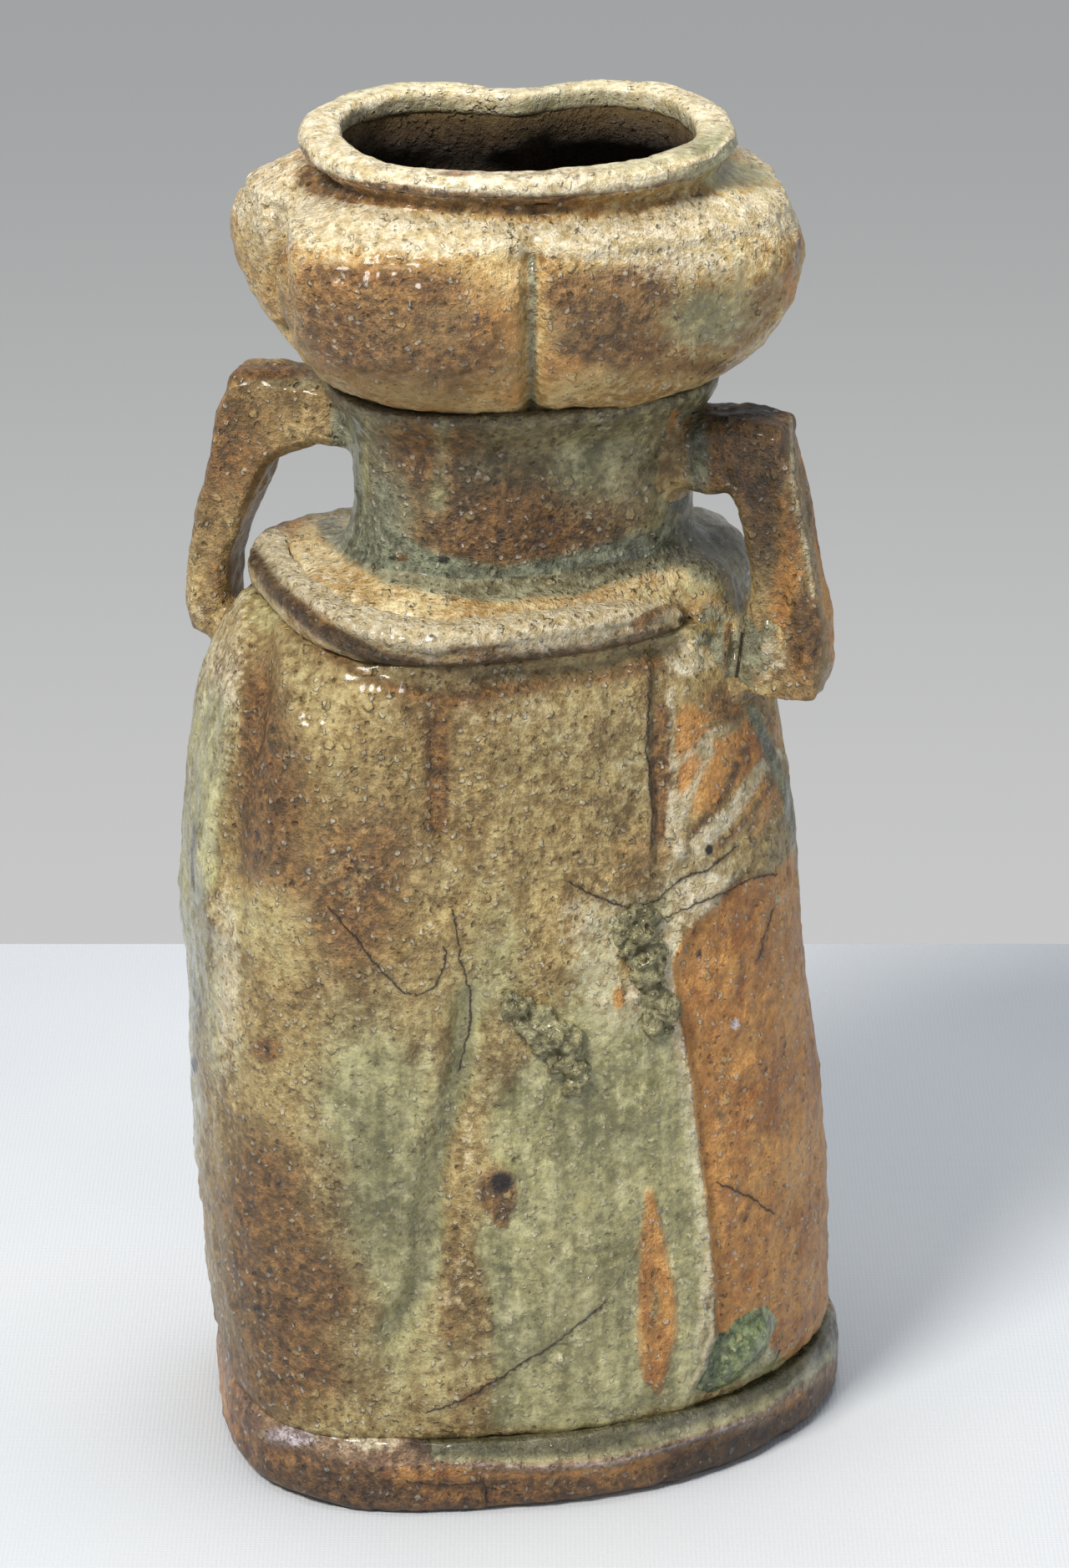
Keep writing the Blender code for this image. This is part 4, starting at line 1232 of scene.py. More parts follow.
# %% The neck's skin
FLARE = 0.0042  # how far the neck spreads under the bowl
FLARE_RISE = 0.0055
NECK_WALL = 0.0065
NECK_ROWS = 56
NECK_COLUMNS = 260
INNER_EVERY = 6  # the inner side takes every sixth row
NECK_FOOT_ROW = 6  # above the clay that is smeared round its foot

low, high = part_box("neck_wall")
heights = np.linspace(low.z + TUCK, high.z - TUCK, NECK_ROWS)
radii, neck_centre = read_radii("neck_wall", heights, NECK_COLUMNS)
radii = soften(radii, 8, 2)
neck_foot = radii[NECK_FOOT_ROW].copy()
inner_radii, inner_heights = reach_into(radii[::INNER_EVERY] - NECK_WALL, heights[::INNER_EVERY])
radii = radii + FLARE * np.exp(-((heights - high.z) / FLARE_RISE) ** 2)[:, None]
radii, heights = reach_into(radii, heights)
inner_rows = ring_rows(inner_radii[::-1], neck_centre, inner_heights[::-1])
neck = ring_skin("neck_skin", np.concatenate([ring_rows(radii, neck_centre, heights), inner_rows]))
work_clay(neck, 0.0005, 0.00026)
neck_base = {"cream": 0.18, "brown": 0.28, "orange": 0.10, "green": 0.28, "slate": 0.18}
fire(neck, neck_base, NECK_MARKS, inner_top=low.z + ALL_IN_SHADE)
neck_finish = fired_clay("neck_clay", (tone(82, 70, 44), tone(112, 98, 64), tone(150, 138, 98)))
dress(neck, neck_finish, "neck_clay", "neck_wall")

# %% [markdown]
# ## The bowl
#
# The mouth bowl swells in four lobes. Ash fell straight down on its upper side and lies there
# dry and cream, and each lobe carries a scorched brown patch where the flame licked it. Deep
# grooves part the lobes.

# %% Marks of the bowl
BOWL_PRESSES = (
    Groove(((636, 300), (637, 400), (636, 505)), 11, 0.0024),
    Groove(((333, 256), (335, 320), (342, 400)), 9, 0.0024),
    Groove(((352, 262), (356, 320), (366, 400)), 12, -0.0008),
    Groove(((700, 490), (800, 462), (900, 415), (940, 370)), 8, -0.0004),
)
BOWL_MARKS = (
    Area("brown", ((352, 305), (480, 310), (590, 335), (610, 430), (560, 480), (450, 465), (380, 430),
                   (350, 360)), 30, 0.46),
    Streak("brown", ((370, 330), (450, 345), (540, 350)), 14, 0.45),
    Streak("brown", ((400, 400), (480, 425), (560, 430)), 12, 0.40),
    Streak("brown", ((450, 376), (520, 390), (590, 385)), 9, 0.35),
    Area("brown", ((655, 318), (770, 312), (830, 345), (820, 400), (760, 450), (665, 465)), 40, 0.40),
    Streak("brown", ((668, 350), (740, 372), (800, 360)), 16, 0.42),
    Streak("brown", ((680, 420), (740, 430), (800, 410)), 12, 0.35),
    Spot("brown", (885, 360), 36, 30, 0.30),
    Spot("brown", (780, 330), 60, 22, 0.5),
    Spot("brown", (860, 440), 70, 16, 0.6),
    Spot("orange", (560, 380), 70, 40, 0.28),
    Spot("orange", (700, 440), 60, 30, 0.35),
    Spot("orange", (480, 430), 60, 30, 0.25),
    Spot("orange", (948, 340), 12, 50, 0.6),
    Spot("violet", (955, 300), 8, 40, 0.6),
    Spot("green", (850, 380), 60, 50, 0.50),
    Spot("cream", (830, 320), 70, 26, 0.50),
    Spot("cream", (740, 300), 60, 16, 0.45),
    Spot("cream", (310, 300), 24, 40, 0.45),
    Spot("green", (310, 350), 20, 40, 0.45),
    Streak("cream", ((300, 250), (338, 262), (420, 274), (510, 285), (640, 290), (800, 278),
                     (920, 246), (945, 262)), 17, 0.95),
    Area("cream", ((300, 215), (371, 240), (529, 262), (646, 268), (753, 260), (880, 215), (920, 200),
                   (950, 260), (800, 290), (640, 296), (500, 288), (338, 266)), 12, 0.5),
    Streak("brown", ((371, 215), (420, 232), (529, 243), (600, 246), (680, 240)), 13, 1.0),
    Spot("green", (890, 215), 44, 22, 0.9),
    Spot("slate", (880, 225), 36, 12, 0.5),
    Streak("slate", ((637, 310), (638, 400), (636, 500)), 9, 0.85),
    # painted shade in the two grooves, on the right lobes and on the left lobe
    Streak("shade", ((628, 305), (629, 400), (630, 500)), 5, 0.30),
    Streak("shade", ((333, 262), (336, 330), (343, 400)), 5, 0.55),
    Spot("shade", (720, 390), 90, 70, 0.16),
    Spot("shade", (850, 370), 90, 60, 0.22),
    Spot("shade", (306, 300), 26, 60, 0.40),
    Patch("cream", 90, 0.268, 90, 0.005, 0.6),
    Patch("green", 60, 0.255, 40, 0.012, 0.5),
    Patch("brown", 140, 0.250, 40, 0.012, 0.5),
)
print("marks on the bowl:", len(BOWL_MARKS))

# %% [markdown]
# A sharp ridge runs where the potter folded the bowl in towards the lip. Above the ridge the
# wall is a hollow collar, and its last rows spread again until they meet the outer side of the
# lip, so bowl and lip are one sweep of clay.

# %% The bowl's skin
RIDGE_HEIGHT = 0.2692
RIDGE = 0.0014
COLLAR_FROM = 0.2735  # above this height the wall turns out to the lip
COLLAR_TURN = 1.6  # above 1 the collar turns late
COLLAR_ROWS = 6
COLLAR_PROUD = 0.0004  # the collar ends this far outside the lip's slanted side
DIP_HEIGHT = 0.2740
DIP = 0.0010
FOLD = 0.0018  # half the height of the ridge and of the dip
LIP_SLANT = 0.0036  # the lip's outer side draws in by this towards its underside
BELOW_CROWN = 0.0008
INTO_LIP = 0.0012
UNDER_LIP = 0.0050  # over this drop the inner wall comes in from under the lip
BEHIND_LIP = 0.0006
FINE_FROM = 0.010  # the rows are finer in the top centimetre

low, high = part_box("mouth_bowl")
heights = np.concatenate([
    np.linspace(low.z + TUCK, high.z - FINE_FROM, 40, endpoint=False),
    np.linspace(high.z - FINE_FROM, high.z - TUCK, 30),
])
radii, centre = read_radii("mouth_bowl", heights, COLUMNS)
radii = soften(radii, 6, 3)
lip_low, lip_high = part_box("lip_ring")
crown = (lip_low.z + lip_high.z) / 2
lip_outside = soften(read_radii("lip_ring", [crown], COLUMNS, centre=centre)[0], 10, 0)[0]
collar_top = crown - BELOW_CROWN
collar_end = lip_outside - LIP_SLANT * (crown - collar_top) / (crown - lip_low.z) + COLLAR_PROUD
collar_heights = np.linspace(heights[-1], collar_top, COLLAR_ROWS)[1:]
heights = np.concatenate([heights, collar_heights])
radii = np.concatenate([radii, np.repeat(radii[-1:], len(collar_heights), axis=0)])
turn = np.clip((heights - COLLAR_FROM) / (collar_top - COLLAR_FROM), 0, 1)[:, None] ** COLLAR_TURN
radii = radii * (1 - turn) + collar_end * turn
heights = np.append(heights, crown)
radii = np.concatenate([radii, [lip_outside - INTO_LIP]])
radii = radii + RIDGE * np.exp(-((heights - RIDGE_HEIGHT) / FOLD) ** 2)[:, None]
radii = radii - DIP * np.exp(-((heights - DIP_HEIGHT) / FOLD) ** 2)[:, None]
inner_heights = np.linspace(high.z - TUCK, low.z + TUCK, 30)
inner_radii, _ = read_radii("mouth_bowl", inner_heights, COLUMNS, from_inside=True)
inner_radii = soften(inner_radii, 10, 2)
lip_inside = read_radii("lip_ring", [crown], COLUMNS, from_inside=True, centre=centre)[0]
lip_inside = soften(lip_inside, 10, 0)
meet = np.exp(-((inner_heights - inner_heights[0]) / UNDER_LIP) ** 2)[:, None]
inner_radii = inner_radii * (1 - meet) + (lip_inside + BEHIND_LIP) * meet
inner_heights = np.insert(inner_heights, 0, crown)
inner_radii = np.concatenate([lip_inside + INTO_LIP, inner_radii])
inner_rows = ring_rows(inner_radii, centre, inner_heights)
bowl = ring_skin("bowl_skin", np.concatenate([ring_rows(radii, centre, heights), inner_rows]))
work_clay(bowl, 0.0006, 0.00040, BOWL_PRESSES)
bowl_base = {"cream": 0.26, "brown": 0.28, "orange": 0.20, "green": 0.18, "slate": 0.06}
fire(bowl, bowl_base, BOWL_MARKS, inner_top=high.z + 0.004)
bowl_ground = (tone(152, 108, 52), tone(202, 162, 94), tone(222, 198, 142))
bowl_finish = fired_clay("bowl_clay", bowl_ground, grain=1.2)
dress(bowl, bowl_finish, "bowl_clay", "mouth_bowl")

# %% [markdown]
# ## The lip
#
# The lip is a thick coil, pinched nearly flat on top. The ash glaze drew back from its outer
# edge and left a thin bright rim, with a scorched band under it.

# %% Marks of the lip
LIP_MARKS = (
    Area("cream", ((364, 140), (511, 90), (636, 98), (767, 80), (872, 112), (886, 160), (830, 151),
                   (743, 114), (622, 137), (492, 118), (415, 165), (371, 195)), 14, 0.62),
    Spot("slate", (700, 112), 120, 8, 0.35),
    Spot("green", (860, 180), 26, 20, 0.6),
    Spot("green", (470, 200), 40, 8, 0.3),
    Streak("cream", ((368, 150), (373, 190), (420, 208), (529, 217), (646, 225), (753, 215),
                     (855, 186), (880, 158)), 5, 0.9),
    Streak("brown", ((364, 184), (372, 206), (420, 224), (529, 236), (646, 244), (740, 238),
                     (800, 226)), 10, 1.0),
    Spot("brown", (440, 228), 60, 9, 0.6),
    Spot("slate", (770, 234), 50, 8, 0.6),
    # painted shade under the lip's edge
    Spot("shade", (470, 238), 110, 8, 0.25),
    Spot("brown", (545, 208), 34, 5, 0.8),
    Patch("green", 60, 0.280, 60, 0.004, 0.4),
)
print("marks on the lip:", len(LIP_MARKS))

# %% [markdown]
# The outer and inner radii of the lip are read from the solid at half its height, and a
# squarish section that leans in a little is swept between them.

# %% The lip's skin
LIP_STEPS = 44
LIP_SQUARE_SHARE = 0.62  # below 1 the section is squarer than a circle
LIP_LEAN = 0.0006  # its top leans in by this
LIP_SHADE_FROM = 0.0034  # the painted shade inside begins this far below the top

outside, centre = read_radii("lip_ring", [crown], COLUMNS)
inside, _ = read_radii("lip_ring", [crown], COLUMNS, from_inside=True)
outside = soften(outside, 10, 0)[0]
inside = soften(inside, 10, 0)[0]
middle = (outside + inside) / 2
half_wide = (outside - inside) / 2
half_tall = (lip_high.z - lip_low.z) / 2


def squared(wave):
    return np.sign(wave) * np.abs(wave) ** LIP_SQUARE_SHARE


angles = -np.arange(LIP_STEPS) * math.tau / LIP_STEPS
out_share = squared(np.cos(angles))
up_share = squared(np.sin(angles))
lip_radii = middle[None, :] + half_wide[None, :] * out_share[:, None] - LIP_LEAN * up_share[:, None]
lip_radii -= (LIP_SLANT * np.clip(-up_share, 0, 1) * np.clip(out_share * 2, 0, 1))[:, None]
lip_heights = crown + half_tall * up_share
lip = ring_skin("lip_skin", ring_rows(lip_radii[::-1], centre, lip_heights[::-1]))
work_clay(lip, 0.0005, 0.00026)
lip_base = {"cream": 0.50, "brown": 0.14, "orange": 0.04, "green": 0.26, "slate": 0.12}
fire(lip, lip_base, LIP_MARKS, inner_top=lip_high.z - LIP_SHADE_FROM)
lip_ground = (tone(132, 110, 78), tone(182, 166, 130), tone(208, 200, 174))
lip_finish = fired_clay("lip_clay", lip_ground, grain=0.7)
dress(lip, lip_finish, "lip_clay", "lip_ring")

# %% [markdown]
# ## The shoulder
#
# The potter smeared soft clay from the coil up to the neck, so the shoulder is one slope. Its
# outer edge follows the crest of the coil. Rays shot straight down at the coil's solid find
# that crest on every bearing.

# %% The crest of the coil
OUT_FROM = 0.002  # rays are shot down from this far outside the neck
OUT_TO = 0.045
OUT_STEP = 0.0007
ABOVE = 0.25  # the height that they start from


def coil_crest(centre, starts):
    """How far out and how high the coil's crest lies on each bearing."""
    tree = solid_tree("shoulder_roll")
    crest = []
    for column, start in enumerate(starts):
        bearing = column * math.tau / len(starts)
        for out in np.arange(OUT_FROM, OUT_TO, OUT_STEP):
            x = centre[0] + (start + out) * math.cos(bearing)
            y = centre[1] + (start + out) * math.sin(bearing)
            hit = tree.ray_cast(Vector((x, y, ABOVE)), Vector((0, 0, -1)))[0]
            if hit:
                crest.append((column, start + out, hit.z))
    crest = np.array(crest)
    found = np.unique(crest[:, 0])
    best = np.array([max(crest[crest[:, 0] == column], key=lambda spot: spot[2]) for column in found])
    columns = np.arange(len(starts))
    parts = [np.interp(columns, found, best[:, part], period=len(starts)) for part in (1, 2)]
    return [soften(part[None, :], 20, 0)[0] for part in parts]


crest_out, crest_height = coil_crest(neck_centre, neck_foot)
crest_range = [round(height * 1000, 1) for height in (crest_height.min(), crest_height.max())]
print("the coil's crest in millimetres, lowest and highest:", crest_range)

# %% [markdown]
# The slope is a closed ring of clay. Seen in section it starts inside the coil, rises over the
# crest to the top of the deck, climbs a little up the neck and goes back down inside it.

# %% The slope of clay
NECK_FOOT_OUT = 0.0040  # where the slope ends and the climb up the neck begins
UP_THE_NECK = ((0.0020, 0.0012), (0.0006, 0.0026), (-0.0012, 0.0050))  # out, up
SLOPE_SHARES = (0.0, 0.12, 0.28, 0.46, 0.64, 0.82, 1.0)
UNDER = 0.0040  # how deep the slope of clay reaches down
INSIDE_NECK = 0.0020
SKIM = 0.0001  # the slope lies this far over the crest

deck_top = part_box("shoulder_deck")[1].z
slope = [(crest_out, crest_height - UNDER)]
slope_end = neck_foot + NECK_FOOT_OUT
for share in SLOPE_SHARES:
    rise = 0.5 * share + 0.5 * share * share * (3 - 2 * share)
    out = crest_out + (slope_end - crest_out) * share
    slope.append((out, crest_height + SKIM + (deck_top - SKIM - crest_height) * rise))
slope += [(neck_foot + out, deck_top + up) for out, up in UP_THE_NECK]
slope.append((neck_foot - INSIDE_NECK, deck_top + UP_THE_NECK[-1][1]))
slope.append((neck_foot - INSIDE_NECK, deck_top - UNDER))
slope_rows = [
    ring_rows(out[None, :], neck_centre, np.broadcast_to(up, out.shape)[None, :]) for out, up in slope
]
slope_skin = ring_skin("slope", np.concatenate(slope_rows))
print("rings in the slope:", len(slope_rows))

# %% [markdown]
# At the right the potter tore the coil off and pressed a web of clay over to the lug. Flat
# lumps make it. Each is placed by a pixel, where a ray finds its spot on the solids, and a
# larger lump swells the shoulder behind the lug. Blue-green film pooled where the slope meets
# the neck.

# %% The torn web and the marks of the shoulder
WEB_LUMPS = (  # x, y, radius, how far it is sunk in
    (850, 712, 0.0090, 0.0076), (872, 728, 0.0090, 0.0074), (866, 765, 0.0090, 0.0074),
    (884, 785, 0.0080, 0.0064), (893, 760, 0.0080, 0.0066), (848, 775, 0.0070, 0.0058),
    (905, 805, 0.0060, 0.0044), (880, 700, 0.0080, 0.0068), (835, 745, 0.0060, 0.0050),
)
BACK_LUMP_PLACE = (0.0358, 0.0135, 0.1842)  # behind the right lug
BACK_LUMP_RADII = (0.0135, 0.0235, 0.0108)
DECK_PRESSES = (
    Groove(((872, 748), (868, 790), (863, 831)), 7, -0.0008),
    Groove(((858, 745), (853, 800)), 6, 0.0010),
    Groove(((822, 741), (823, 745)), 9, 0.0022),
    Groove(((845, 775), (846, 781)), 8, 0.0014),
    Groove(((905, 690), (909, 735), (905, 770)), 5, 0.0014),
)
DECK_MARKS = (
    Spot("orange", (350, 650), 40, 34, 0.35),
    Spot("brown", (790, 668), 70, 22, 0.6),
    Area("slate", ((838, 690), (900, 640), (935, 700), (925, 790), (880, 840), (845, 810),
                   (832, 745)), 14, 0.85),
    Spot("green", (862, 705), 40, 26, 0.50),
    Streak("cream", ((850, 714), (880, 745), (900, 800)), 9, 0.45),
    Streak("slate", ((384, 600), (394, 632), (430, 660), (472, 682), (581, 704), (654, 698),
                     (690, 688)), 21, 0.90),
    Streak("slate", ((690, 686), (760, 674), (835, 662), (880, 650)), 20, 0.90),
    Area("slate", ((826, 590), (900, 580), (900, 680), (826, 690)), 10, 0.80),
    Streak("brown", ((872, 750), (868, 790), (863, 831)), 7, 0.75),
    # painted shade at the neck's foot on the right, and beside the lug's inner edge
    Streak("shade", ((690, 680), (760, 668), (835, 654), (885, 650)), 17, 0.75),
    Spot("shade", (855, 660), 34, 26, 0.60),
    Streak("shade", ((903, 680), (906, 735), (903, 775)), 9, 0.5),
    TORN_PIT,
    # painted shadow in a second pit of the web
    Spot("dark", (845, 779), 8, 8, 0.8),
    # painted shade in the web
    Spot("shade", (880, 712), 34, 30, 0.50),
    Streak("dark", ((889, 758), (885, 790), (880, 822)), 3, 0.8),
    Spot("cream", (917, 776), 9, 12, 0.9),
    Spot("dark", (620, 690), 26, 8, 0.6),
    # painted shade in the web
    Spot("shade", (845, 760), 24, 30, 0.4),
    Patch("green", 90, 0.192, 80, 0.006, 0.6),
)


def lumps_at(places):
    made = []
    for x, y, radius, sunk in places:
        spot, outward = on_solid(x, y)
        made.append(lump(spot - outward * sunk, (radius, radius, radius)))
    return made


print("lumps in the web:", len(WEB_LUMPS), "and marks on the shoulder:", len(DECK_MARKS))

# %% [markdown]
# The deck's solid, the slope and the lumps are fused into one skin. The shoulder and the coil
# share a pale, coarse finish, because dry ash lies thick on both.

# %% The shoulder's skin
SHOULDER_VOXEL = 0.0007
SHOULDER_PASSES = 8

shoulder_sources = [frame["nodes"]["shoulder_deck"].data, slope_skin.data]
shoulder_sources += [lump(BACK_LUMP_PLACE, BACK_LUMP_RADII), *lumps_at(WEB_LUMPS)]
deck = fused_skin("shoulder_skin", shoulder_sources, SHOULDER_VOXEL, SHOULDER_PASSES)
bpy.data.objects.remove(slope_skin)
work_clay(deck, 0.0006, 0.00030, DECK_PRESSES)
deck_base = {"cream": 0.44, "brown": 0.14, "orange": 0.20, "green": 0.16, "slate": 0.08}
fire(deck, deck_base, DECK_MARKS, gloss=0.15)
roll_ground = (tone(176, 136, 76), tone(220, 188, 126), tone(238, 220, 172))
roll_finish = fired_clay("roll_clay", roll_ground, grain=1.3)
dress(deck, roll_finish, "deck_clay", "shoulder_deck")

# %% [markdown]
# ## The coil
#
# The coil was rolled by hand and laid round the shoulder's edge. It was torn off at the right,
# where its end shows rough brown clay. Dry ash makes its crest pale and sparkling.

# %% Coil
UNDER_COIL = (
    (303, 665), (330, 705), (381, 750), (454, 790), (537, 806), (617, 796), (726, 782), (800, 762),
)
ROLL_PRESSES = (
    Groove(((303, 645), (330, 692), (381, 738), (435, 772), (508, 792), (592, 780), (690, 762),
            (800, 744)), 6, 0.0008),
)
ROLL_MARKS = (
    Spot("orange", (330, 650), 40, 40, 0.45),
    Spot("orange", (470, 715), 90, 16, 0.25),
    Spot("orange", (600, 740), 60, 12, 0.35),
    Streak("cream", ((303, 618), (312, 646), (363, 690), (435, 734), (508, 755), (592, 742),
                     (690, 728), (763, 716), (832, 687)), 25, 1.0),
    Streak("brown", UNDER_COIL, 12, 0.9),
    Spot("brown", (560, 775), 60, 12, 0.6),
    Streak("brown", ((763, 746), (800, 722), (834, 694)), 9, 1.0),
    Streak("cream", ((480, 745), (560, 738), (690, 716), (790, 700)), 20, 0.9),
    TORN_PIT,
    # painted shade under the coil
    Streak("shade", ((400, 762), (460, 778), (560, 786), (640, 774), (740, 758)), 12, 0.5),
    Streak("shade", shifted(UNDER_COIL, 0, 3), 14, 1.0),
)
roll_solid = frame["nodes"]["shoulder_roll"].data
roll = fused_skin("roll_skin", [roll_solid], SHOULDER_VOXEL, SHOULDER_PASSES)
work_clay(roll, 0.0006, 0.00034, ROLL_PRESSES)
fire(roll, {"cream": 0.50, "brown": 0.14, "orange": 0.22, "green": 0.10, "slate": 0.04}, ROLL_MARKS)
dress(roll, roll_finish, "roll_clay", "shoulder_roll")

# %% [markdown]
# ## The lugs
#
# A lug is a bent strip of slab. Its solid is fused with a slice of each member that it sits on,
# and only the corner between the two is relaxed, so soft clay seems to fill the corner while the
# strip keeps its sharp edges. The rest of each slice is sunk below its member's own skin.

# %% Seating a member on its neighbours
CORNER = 0.0050  # how far from the joint the clay is smeared
SLICE_MARGIN = 0.006
SINK = 0.0018
SINK_FROM = 0.0025  # a slice sinks where it is this far from the member, fully at twice as far
SEAT_VOXEL = 0.0006


def slice_near(node, low, high):
    """The part of a solid that lies in a box, closed."""
    builder = bmesh.new()
    bmesh.ops.create_cube(builder, size=1.0)
    matrix = Matrix.Translation((low + high) / 2) @ Matrix.Diagonal((*(high - low), 1.0))
    bmesh.ops.transform(builder, matrix=matrix, verts=builder.verts)
    mesh = bpy.data.meshes.new("slice")
    builder.to_mesh(mesh)
    builder.free()
    box = new_piece("slice", mesh)
    cut = box.modifiers.new("cut", "BOOLEAN")
    cut.operation = "INTERSECT"
    cut.object = frame["nodes"][node]
    evaluated = box.evaluated_get(bpy.context.evaluated_depsgraph_get())
    sliced = bpy.data.meshes.new_from_object(evaluated)
    bpy.data.objects.remove(box)
    return sliced


def distances(points, tree):
    return np.array([tree.find_nearest(Vector(point))[3] for point in points])


def seated_skin(name, node, neighbours, passes):
    """A member fused with slices of its neighbours, its corners relaxed."""
    low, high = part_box(node)
    margin = Vector((SLICE_MARGIN, SLICE_MARGIN, SLICE_MARGIN))
    slices = [slice_near(neighbour, low - margin, high + margin) for neighbour in neighbours]
    piece = fused_skin(name, [frame["nodes"][node].data, *slices], SEAT_VOXEL, 2)
    points, normals = points_and_normals(piece)
    own = distances(points, solid_tree(node))
    other = distances(points, solid_tree(*neighbours))
    soft = np.clip(1.4 - 1.4 * np.maximum(own, other) / CORNER, 0, 1)[:, None]
    ends = np.zeros(len(piece.data.edges) * 2, int)
    piece.data.edges.foreach_get("vertices", ends)
    first, second = ends.reshape(-1, 2).T
    start = np.concatenate([first, second])
    reached = np.concatenate([second, first])
    count = np.bincount(start, minlength=len(points))[:, None]
    for _ in range(passes):
        totals = [np.bincount(start, points[reached, axis], len(points)) for axis in range(3)]
        points += 0.5 * soft * (np.stack(totals, axis=1) / count - points)
    far = np.clip((own - SINK_FROM) / SINK_FROM, 0, 1)[:, None]
    set_points(piece, points - normals * SINK * far)
    return piece


print("clay is smeared within", CORNER * 1000, "mm of a joint")

# %% [markdown]
# The right lug is larger. Its top lies in the bowl's shadow, which is painted on it as dark
# shade, and painted shade darkens it lower down; a pale crusty line runs down its front edge and
# a purple-brown patch lies low on it. The left one is an even, granular brown.

# %% Marks of the lugs
LUG_PRESSES = {
    "right": (
        Groove(((946, 505), (950, 584), (965, 663), (974, 713), (982, 760)), 5, -0.0006),
        Groove(((915, 560), (925, 640), (938, 720)), 14, 0.0006),
        Groove(((952, 700), (968, 790)), 10, -0.0008),
    ),
    "left": (
        Groove(((300, 470), (282, 540), (255, 640), (240, 700)), 14, 0.0005),
        Groove(((292, 445), (352, 444)), 5, -0.0006),
    ),
}
LUG_MARKS = {
    "right": (
        Spot("brown", (890, 560), 60, 40, 0.8),
        Area("orange", ((915, 600), (945, 570), (960, 620), (970, 700), (950, 770), (920, 750)), 14, 0.5),
        Spot("brown", (900, 500), 60, 30, 1.0),
        Spot("brown", (962, 752), 18, 44, 0.95),
        Spot("slate", (836, 545), 16, 60, 0.75),
        Spot("cream", (915, 790), 30, 26, 0.55),
        Spot("green", (900, 820), 30, 12, 0.5),
        Streak("orange", ((957, 520), (974, 600), (990, 700), (998, 790)), 6, 0.8),
        Streak("cream", ((947, 500), (950, 584), (966, 663), (974, 713)), 3, 0.62),
        # painted shadow of the bowl on the lug's top, and painted shade lower down
        Spot("dark", (925, 490), 24, 7, 0.6),
        Spot("dark", (880, 498), 50, 16, 0.62),
        Spot("shade", (890, 505), 66, 28, 0.95),
        Spot("shade", (880, 560), 60, 34, 0.85),
        Spot("shade", (920, 640), 46, 90, 1.0),
        Spot("brown", (915, 640), 30, 60, 0.45),
        Spot("shade", (960, 755), 20, 44, 0.45),
    ),
    "left": (
        Spot("brown", (300, 560), 60, 120, 0.28),
        Spot("slate", (340, 458), 56, 12, 0.40),
        Spot("brown", (330, 446), 50, 10, 0.6),
        Spot("slate", (412, 510), 14, 50, 0.8),
        Spot("orange", (280, 600), 24, 60, 0.3),
        Spot("brown", (262, 690), 30, 40, 0.5),
        Spot("cream", (240, 735), 16, 20, 0.4),
    ),
}
for side, marks in LUG_MARKS.items():
    print("marks on the", side, "lug:", len(marks))

# %% [markdown]
# Both lugs sit on the neck, the bowl, the shoulder and the wall, so each is fused with slices
# of all four before its own marks are pressed in.

# %% The lugs' skins
SEATS = ("neck_wall", "mouth_bowl", "shoulder_deck", "body_wall")
LUG_BASE = {"cream": 0.16, "brown": 0.24, "orange": 0.20, "green": 0.08, "slate": 0.10}
LUG_PASSES = 70

lug_ground = (tone(112, 88, 50), tone(166, 136, 84), tone(196, 170, 116))
lug_finish = fired_clay("lug_clay", lug_ground, grain=1.2)
for side in ("right", "left"):
    node = f"lug_{side}"
    lug = seated_skin(node + "_skin", node, SEATS, LUG_PASSES)
    work_clay(lug, 0.0005, 0.00030, LUG_PRESSES[side])
    fire(lug, LUG_BASE, LUG_MARKS[side])
    dress(lug, lug_finish, f"{side}_lug_clay", node)

# %% [markdown]
# ## What the kiln dropped
#
# Crumbs of the kiln's floor stuck to the glaze in two places and froze there. Their solids are
# remeshed finely and broken up by strong noise of three sizes.

# %% Kiln grit
CRUMBS = ((0.0028, 7, 0.0014), (0.0014, 8, 0.0010), (0.0008, 9, 0.0005))  # size, seed, how proud
CRUMBS_OUT = 0.0006
GRIT_VOXEL = 0.00035
GRIT_BASE = {"cream": 0.14, "brown": 0.26, "green": 0.06, "slate": 0.06, "dark": 0.24}

grit_ground = (tone(88, 82, 54), tone(134, 126, 86), tone(184, 176, 132))
grit_finish = fired_clay("kiln_grit", grit_ground, grain=1.9)
for node, slot in (("kiln_scab_upper", "upper_grit"), ("kiln_scab_lower", "lower_grit")):
    scab = fused_skin(node + "_skin", [frame["nodes"][node].data], GRIT_VOXEL, 2)
    points, normals = points_and_normals(scab)
    set_points(scab, points + normals * (layered(points, CRUMBS) + CRUMBS_OUT)[:, None])
    fire(scab, GRIT_BASE, wander=0.1)
    dress(scab, grit_finish, slot, node)

# %% [markdown]
# A thick drop of ash glass pooled above the foot. It is seated on the wall like a lug, so its
# edge runs out into the glaze, and its finish is deep green and smooth.

# %% Glass pool
POOL_PASSES = 40

pool = seated_skin("glass_pool_skin", "glass_pool", ("body_wall",), POOL_PASSES)
work_clay(pool, 0.0004, 0.0002)
# its "shade" value darkens the whole glass evenly
fire(pool, {"cream": 0.06, "green": 0.30, "slate": 0.12, "shade": 0.42}, gloss=0.6)
pool_ground = (tone(40, 58, 26), tone(84, 104, 50), tone(150, 166, 106))
pool_finish = fired_clay("pool_glass", pool_ground, glaze_gloss=0.9, grain=0.7)
dress(pool, pool_finish, "pool_glass", "glass_pool")

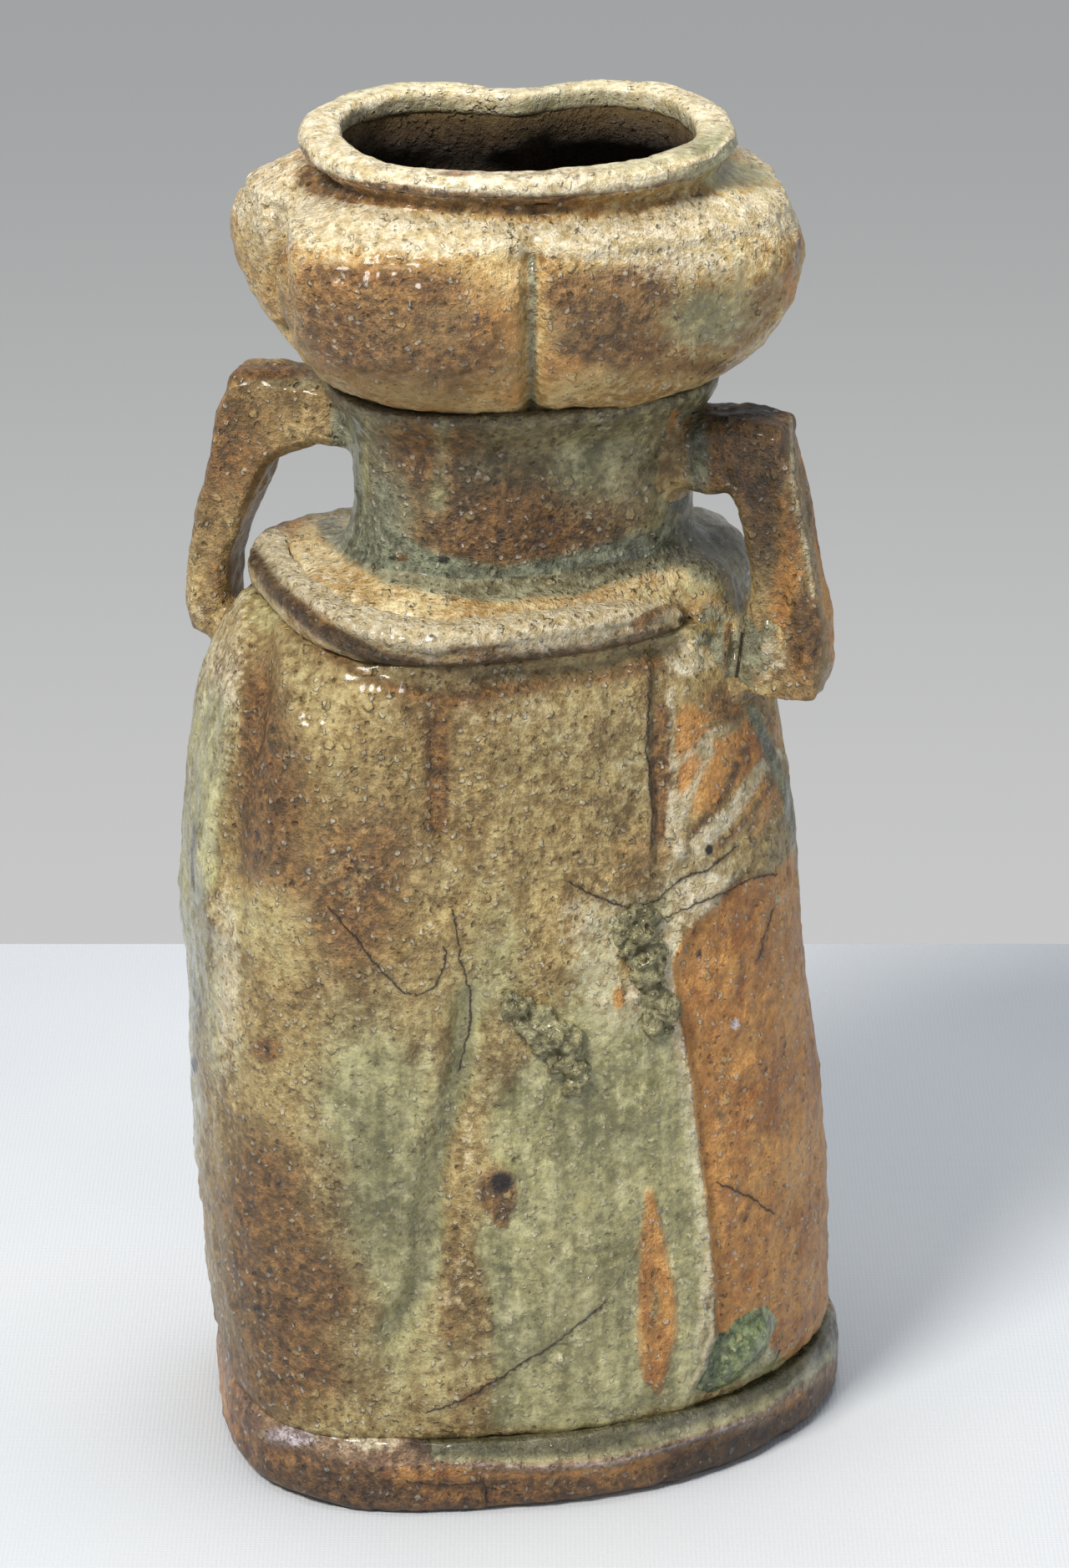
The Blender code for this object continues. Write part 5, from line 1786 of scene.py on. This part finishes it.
# %% [markdown]
# ## The stage
#
# A pale cloth covers the table. Its far edge is where the photograph shows it: the way of a
# pixel is followed down to the table's height. Two wave textures weave the cloth, one across
# and one along.

# %% Table
HORIZON_PIXEL = 1130  # where the table's far edge shows
TABLE_REACH = 4.0  # the table goes this far to each side
THREADS = 330.0  # the scale of the cloth's waves


def on_floor(y):
    """How far back the table's top lies under a row of pixels."""
    way = way_of_pixel(PHOTO_WIDE / 2, y)
    return float(EYE[1] - way[1] * EYE[2] / way[2])


def plane(name, corners, material):
    mesh = bpy.data.meshes.new(name)
    mesh.from_pydata(corners, [], [(0, 1, 2, 3)])
    piece = bpy.data.objects.new(name, mesh)
    bpy.context.scene.collection.objects.link(piece)
    mesh.materials.append(material)
    return piece


def table_cloth():
    """A white cloth, woven of threads across and along."""
    weave = Finish("table_cloth")
    place = weave.place()
    threads = weave.noise(place, 0.0010, 2.0)
    waves = {"Vector": place, "Scale": THREADS, "Distortion": 0.8}
    for direction in ("X", "Y"):
        settings = {"bands_direction": direction}
        threads = threads + weave.node("ShaderNodeTexWave", settings, waves, output="Fac")
    drift = weave.noise(place, 0.15, 2.0)
    shade = weave.mix(drift.step(0.3, 0.7), tone(191, 194, 197), tone(197, 199, 201))
    raised = {"Strength": 0.3, "Distance": 0.0002, "Height": threads}
    bump = weave.node("ShaderNodeBump", {}, raised, output="Normal")
    weave.join(weave.shader, {"Base Color": shade, "Normal": bump, "Roughness": 0.9})
    return weave.material


far_edge = on_floor(HORIZON_PIXEL)
near_side = [(-TABLE_REACH, -TABLE_REACH, 0), (TABLE_REACH, -TABLE_REACH, 0)]
far_side = [(TABLE_REACH, far_edge, 0), (-TABLE_REACH, far_edge, 0)]
plane("table_top", near_side + far_side, table_cloth())
print("the table ends this far behind the vase, in metres:", round(far_edge, 3))

# %% [markdown]
# Behind the table the photograph is plain grey. That grey is no object: it is the world's
# colour for rays that come from the camera or off gloss, a little lighter low down. For all
# other rays the world is faint, bluish daylight.

# %% Daylight and background
GREY_LOW = -0.415  # the background is lightest where a ray falls this steeply
GREY_HIGH = -0.25
DAYLIGHT = (0.48, 0.56, 0.68, 1.0)


class Daylight(Finish):
    """A world under construction."""

    def __init__(self, name):
        self.world = bpy.data.worlds.new(name)
        self.world.use_nodes = True
        self.tree = self.world.node_tree


sky = Daylight("daylight")
ray_kinds = ("Is Camera Ray", "Is Glossy Ray", "Is Transmission Ray")
seen = sum(sky.node("ShaderNodeLightPath", output=kind) for kind in ray_kinds)
way = sky.node("ShaderNodeTexCoord", output="Generated")
height = sky.node("ShaderNodeSeparateXYZ", {}, {0: way}, output="Z")
grey = sky.mix(height.step(GREY_LOW, GREY_HIGH), tone(199, 200, 199), tone(162, 163, 164))
backdrop = sky.node("ShaderNodeBackground", {}, {"Color": grey, "Strength": 1.0})
light = sky.node("ShaderNodeBackground", {}, {"Color": DAYLIGHT, "Strength": 0.50})
both = sky.node("ShaderNodeMixShader", {}, {0: seen, 1: light, 2: backdrop})
sky.join(sky.tree.nodes["World Output"], {"Surface": both})
bpy.context.scene.world = sky.world
print("world with", len(sky.tree.nodes), "nodes")

# %% [markdown]
# Three large, soft lamps light the vase at a plain level: the key from the upper left, as the
# shadow in the photograph tells, a weak fill from the right and one from above.

# %% Lamps
MIDDLE = (0.0, 0.0, 0.14)  # the lamps point at the middle of the vase


def soft_lamp(name, place, size, power, colour):
    data = bpy.data.lights.new(name, "AREA")
    data.shape = "DISK"
    data.size = size
    data.energy = power
    data.color = colour
    lamp = bpy.data.objects.new(name, data)
    lamp.location = place
    lamp.rotation_euler = (Vector(MIDDLE) - Vector(place)).to_track_quat("-Z", "Y").to_euler()
    bpy.context.scene.collection.objects.link(lamp)
    print(name, "lamp of", power, "watts")


soft_lamp("key", (-0.55, -0.80, 1.25), 0.4, 25.5, (1.0, 0.97, 0.93))
soft_lamp("fill", (1.2, -0.8, 0.6), 1.0, 3, (1.0, 1.0, 1.0))
soft_lamp("top", (0.05, 0.10, 1.5), 0.7, 12, (1.0, 0.99, 0.97))
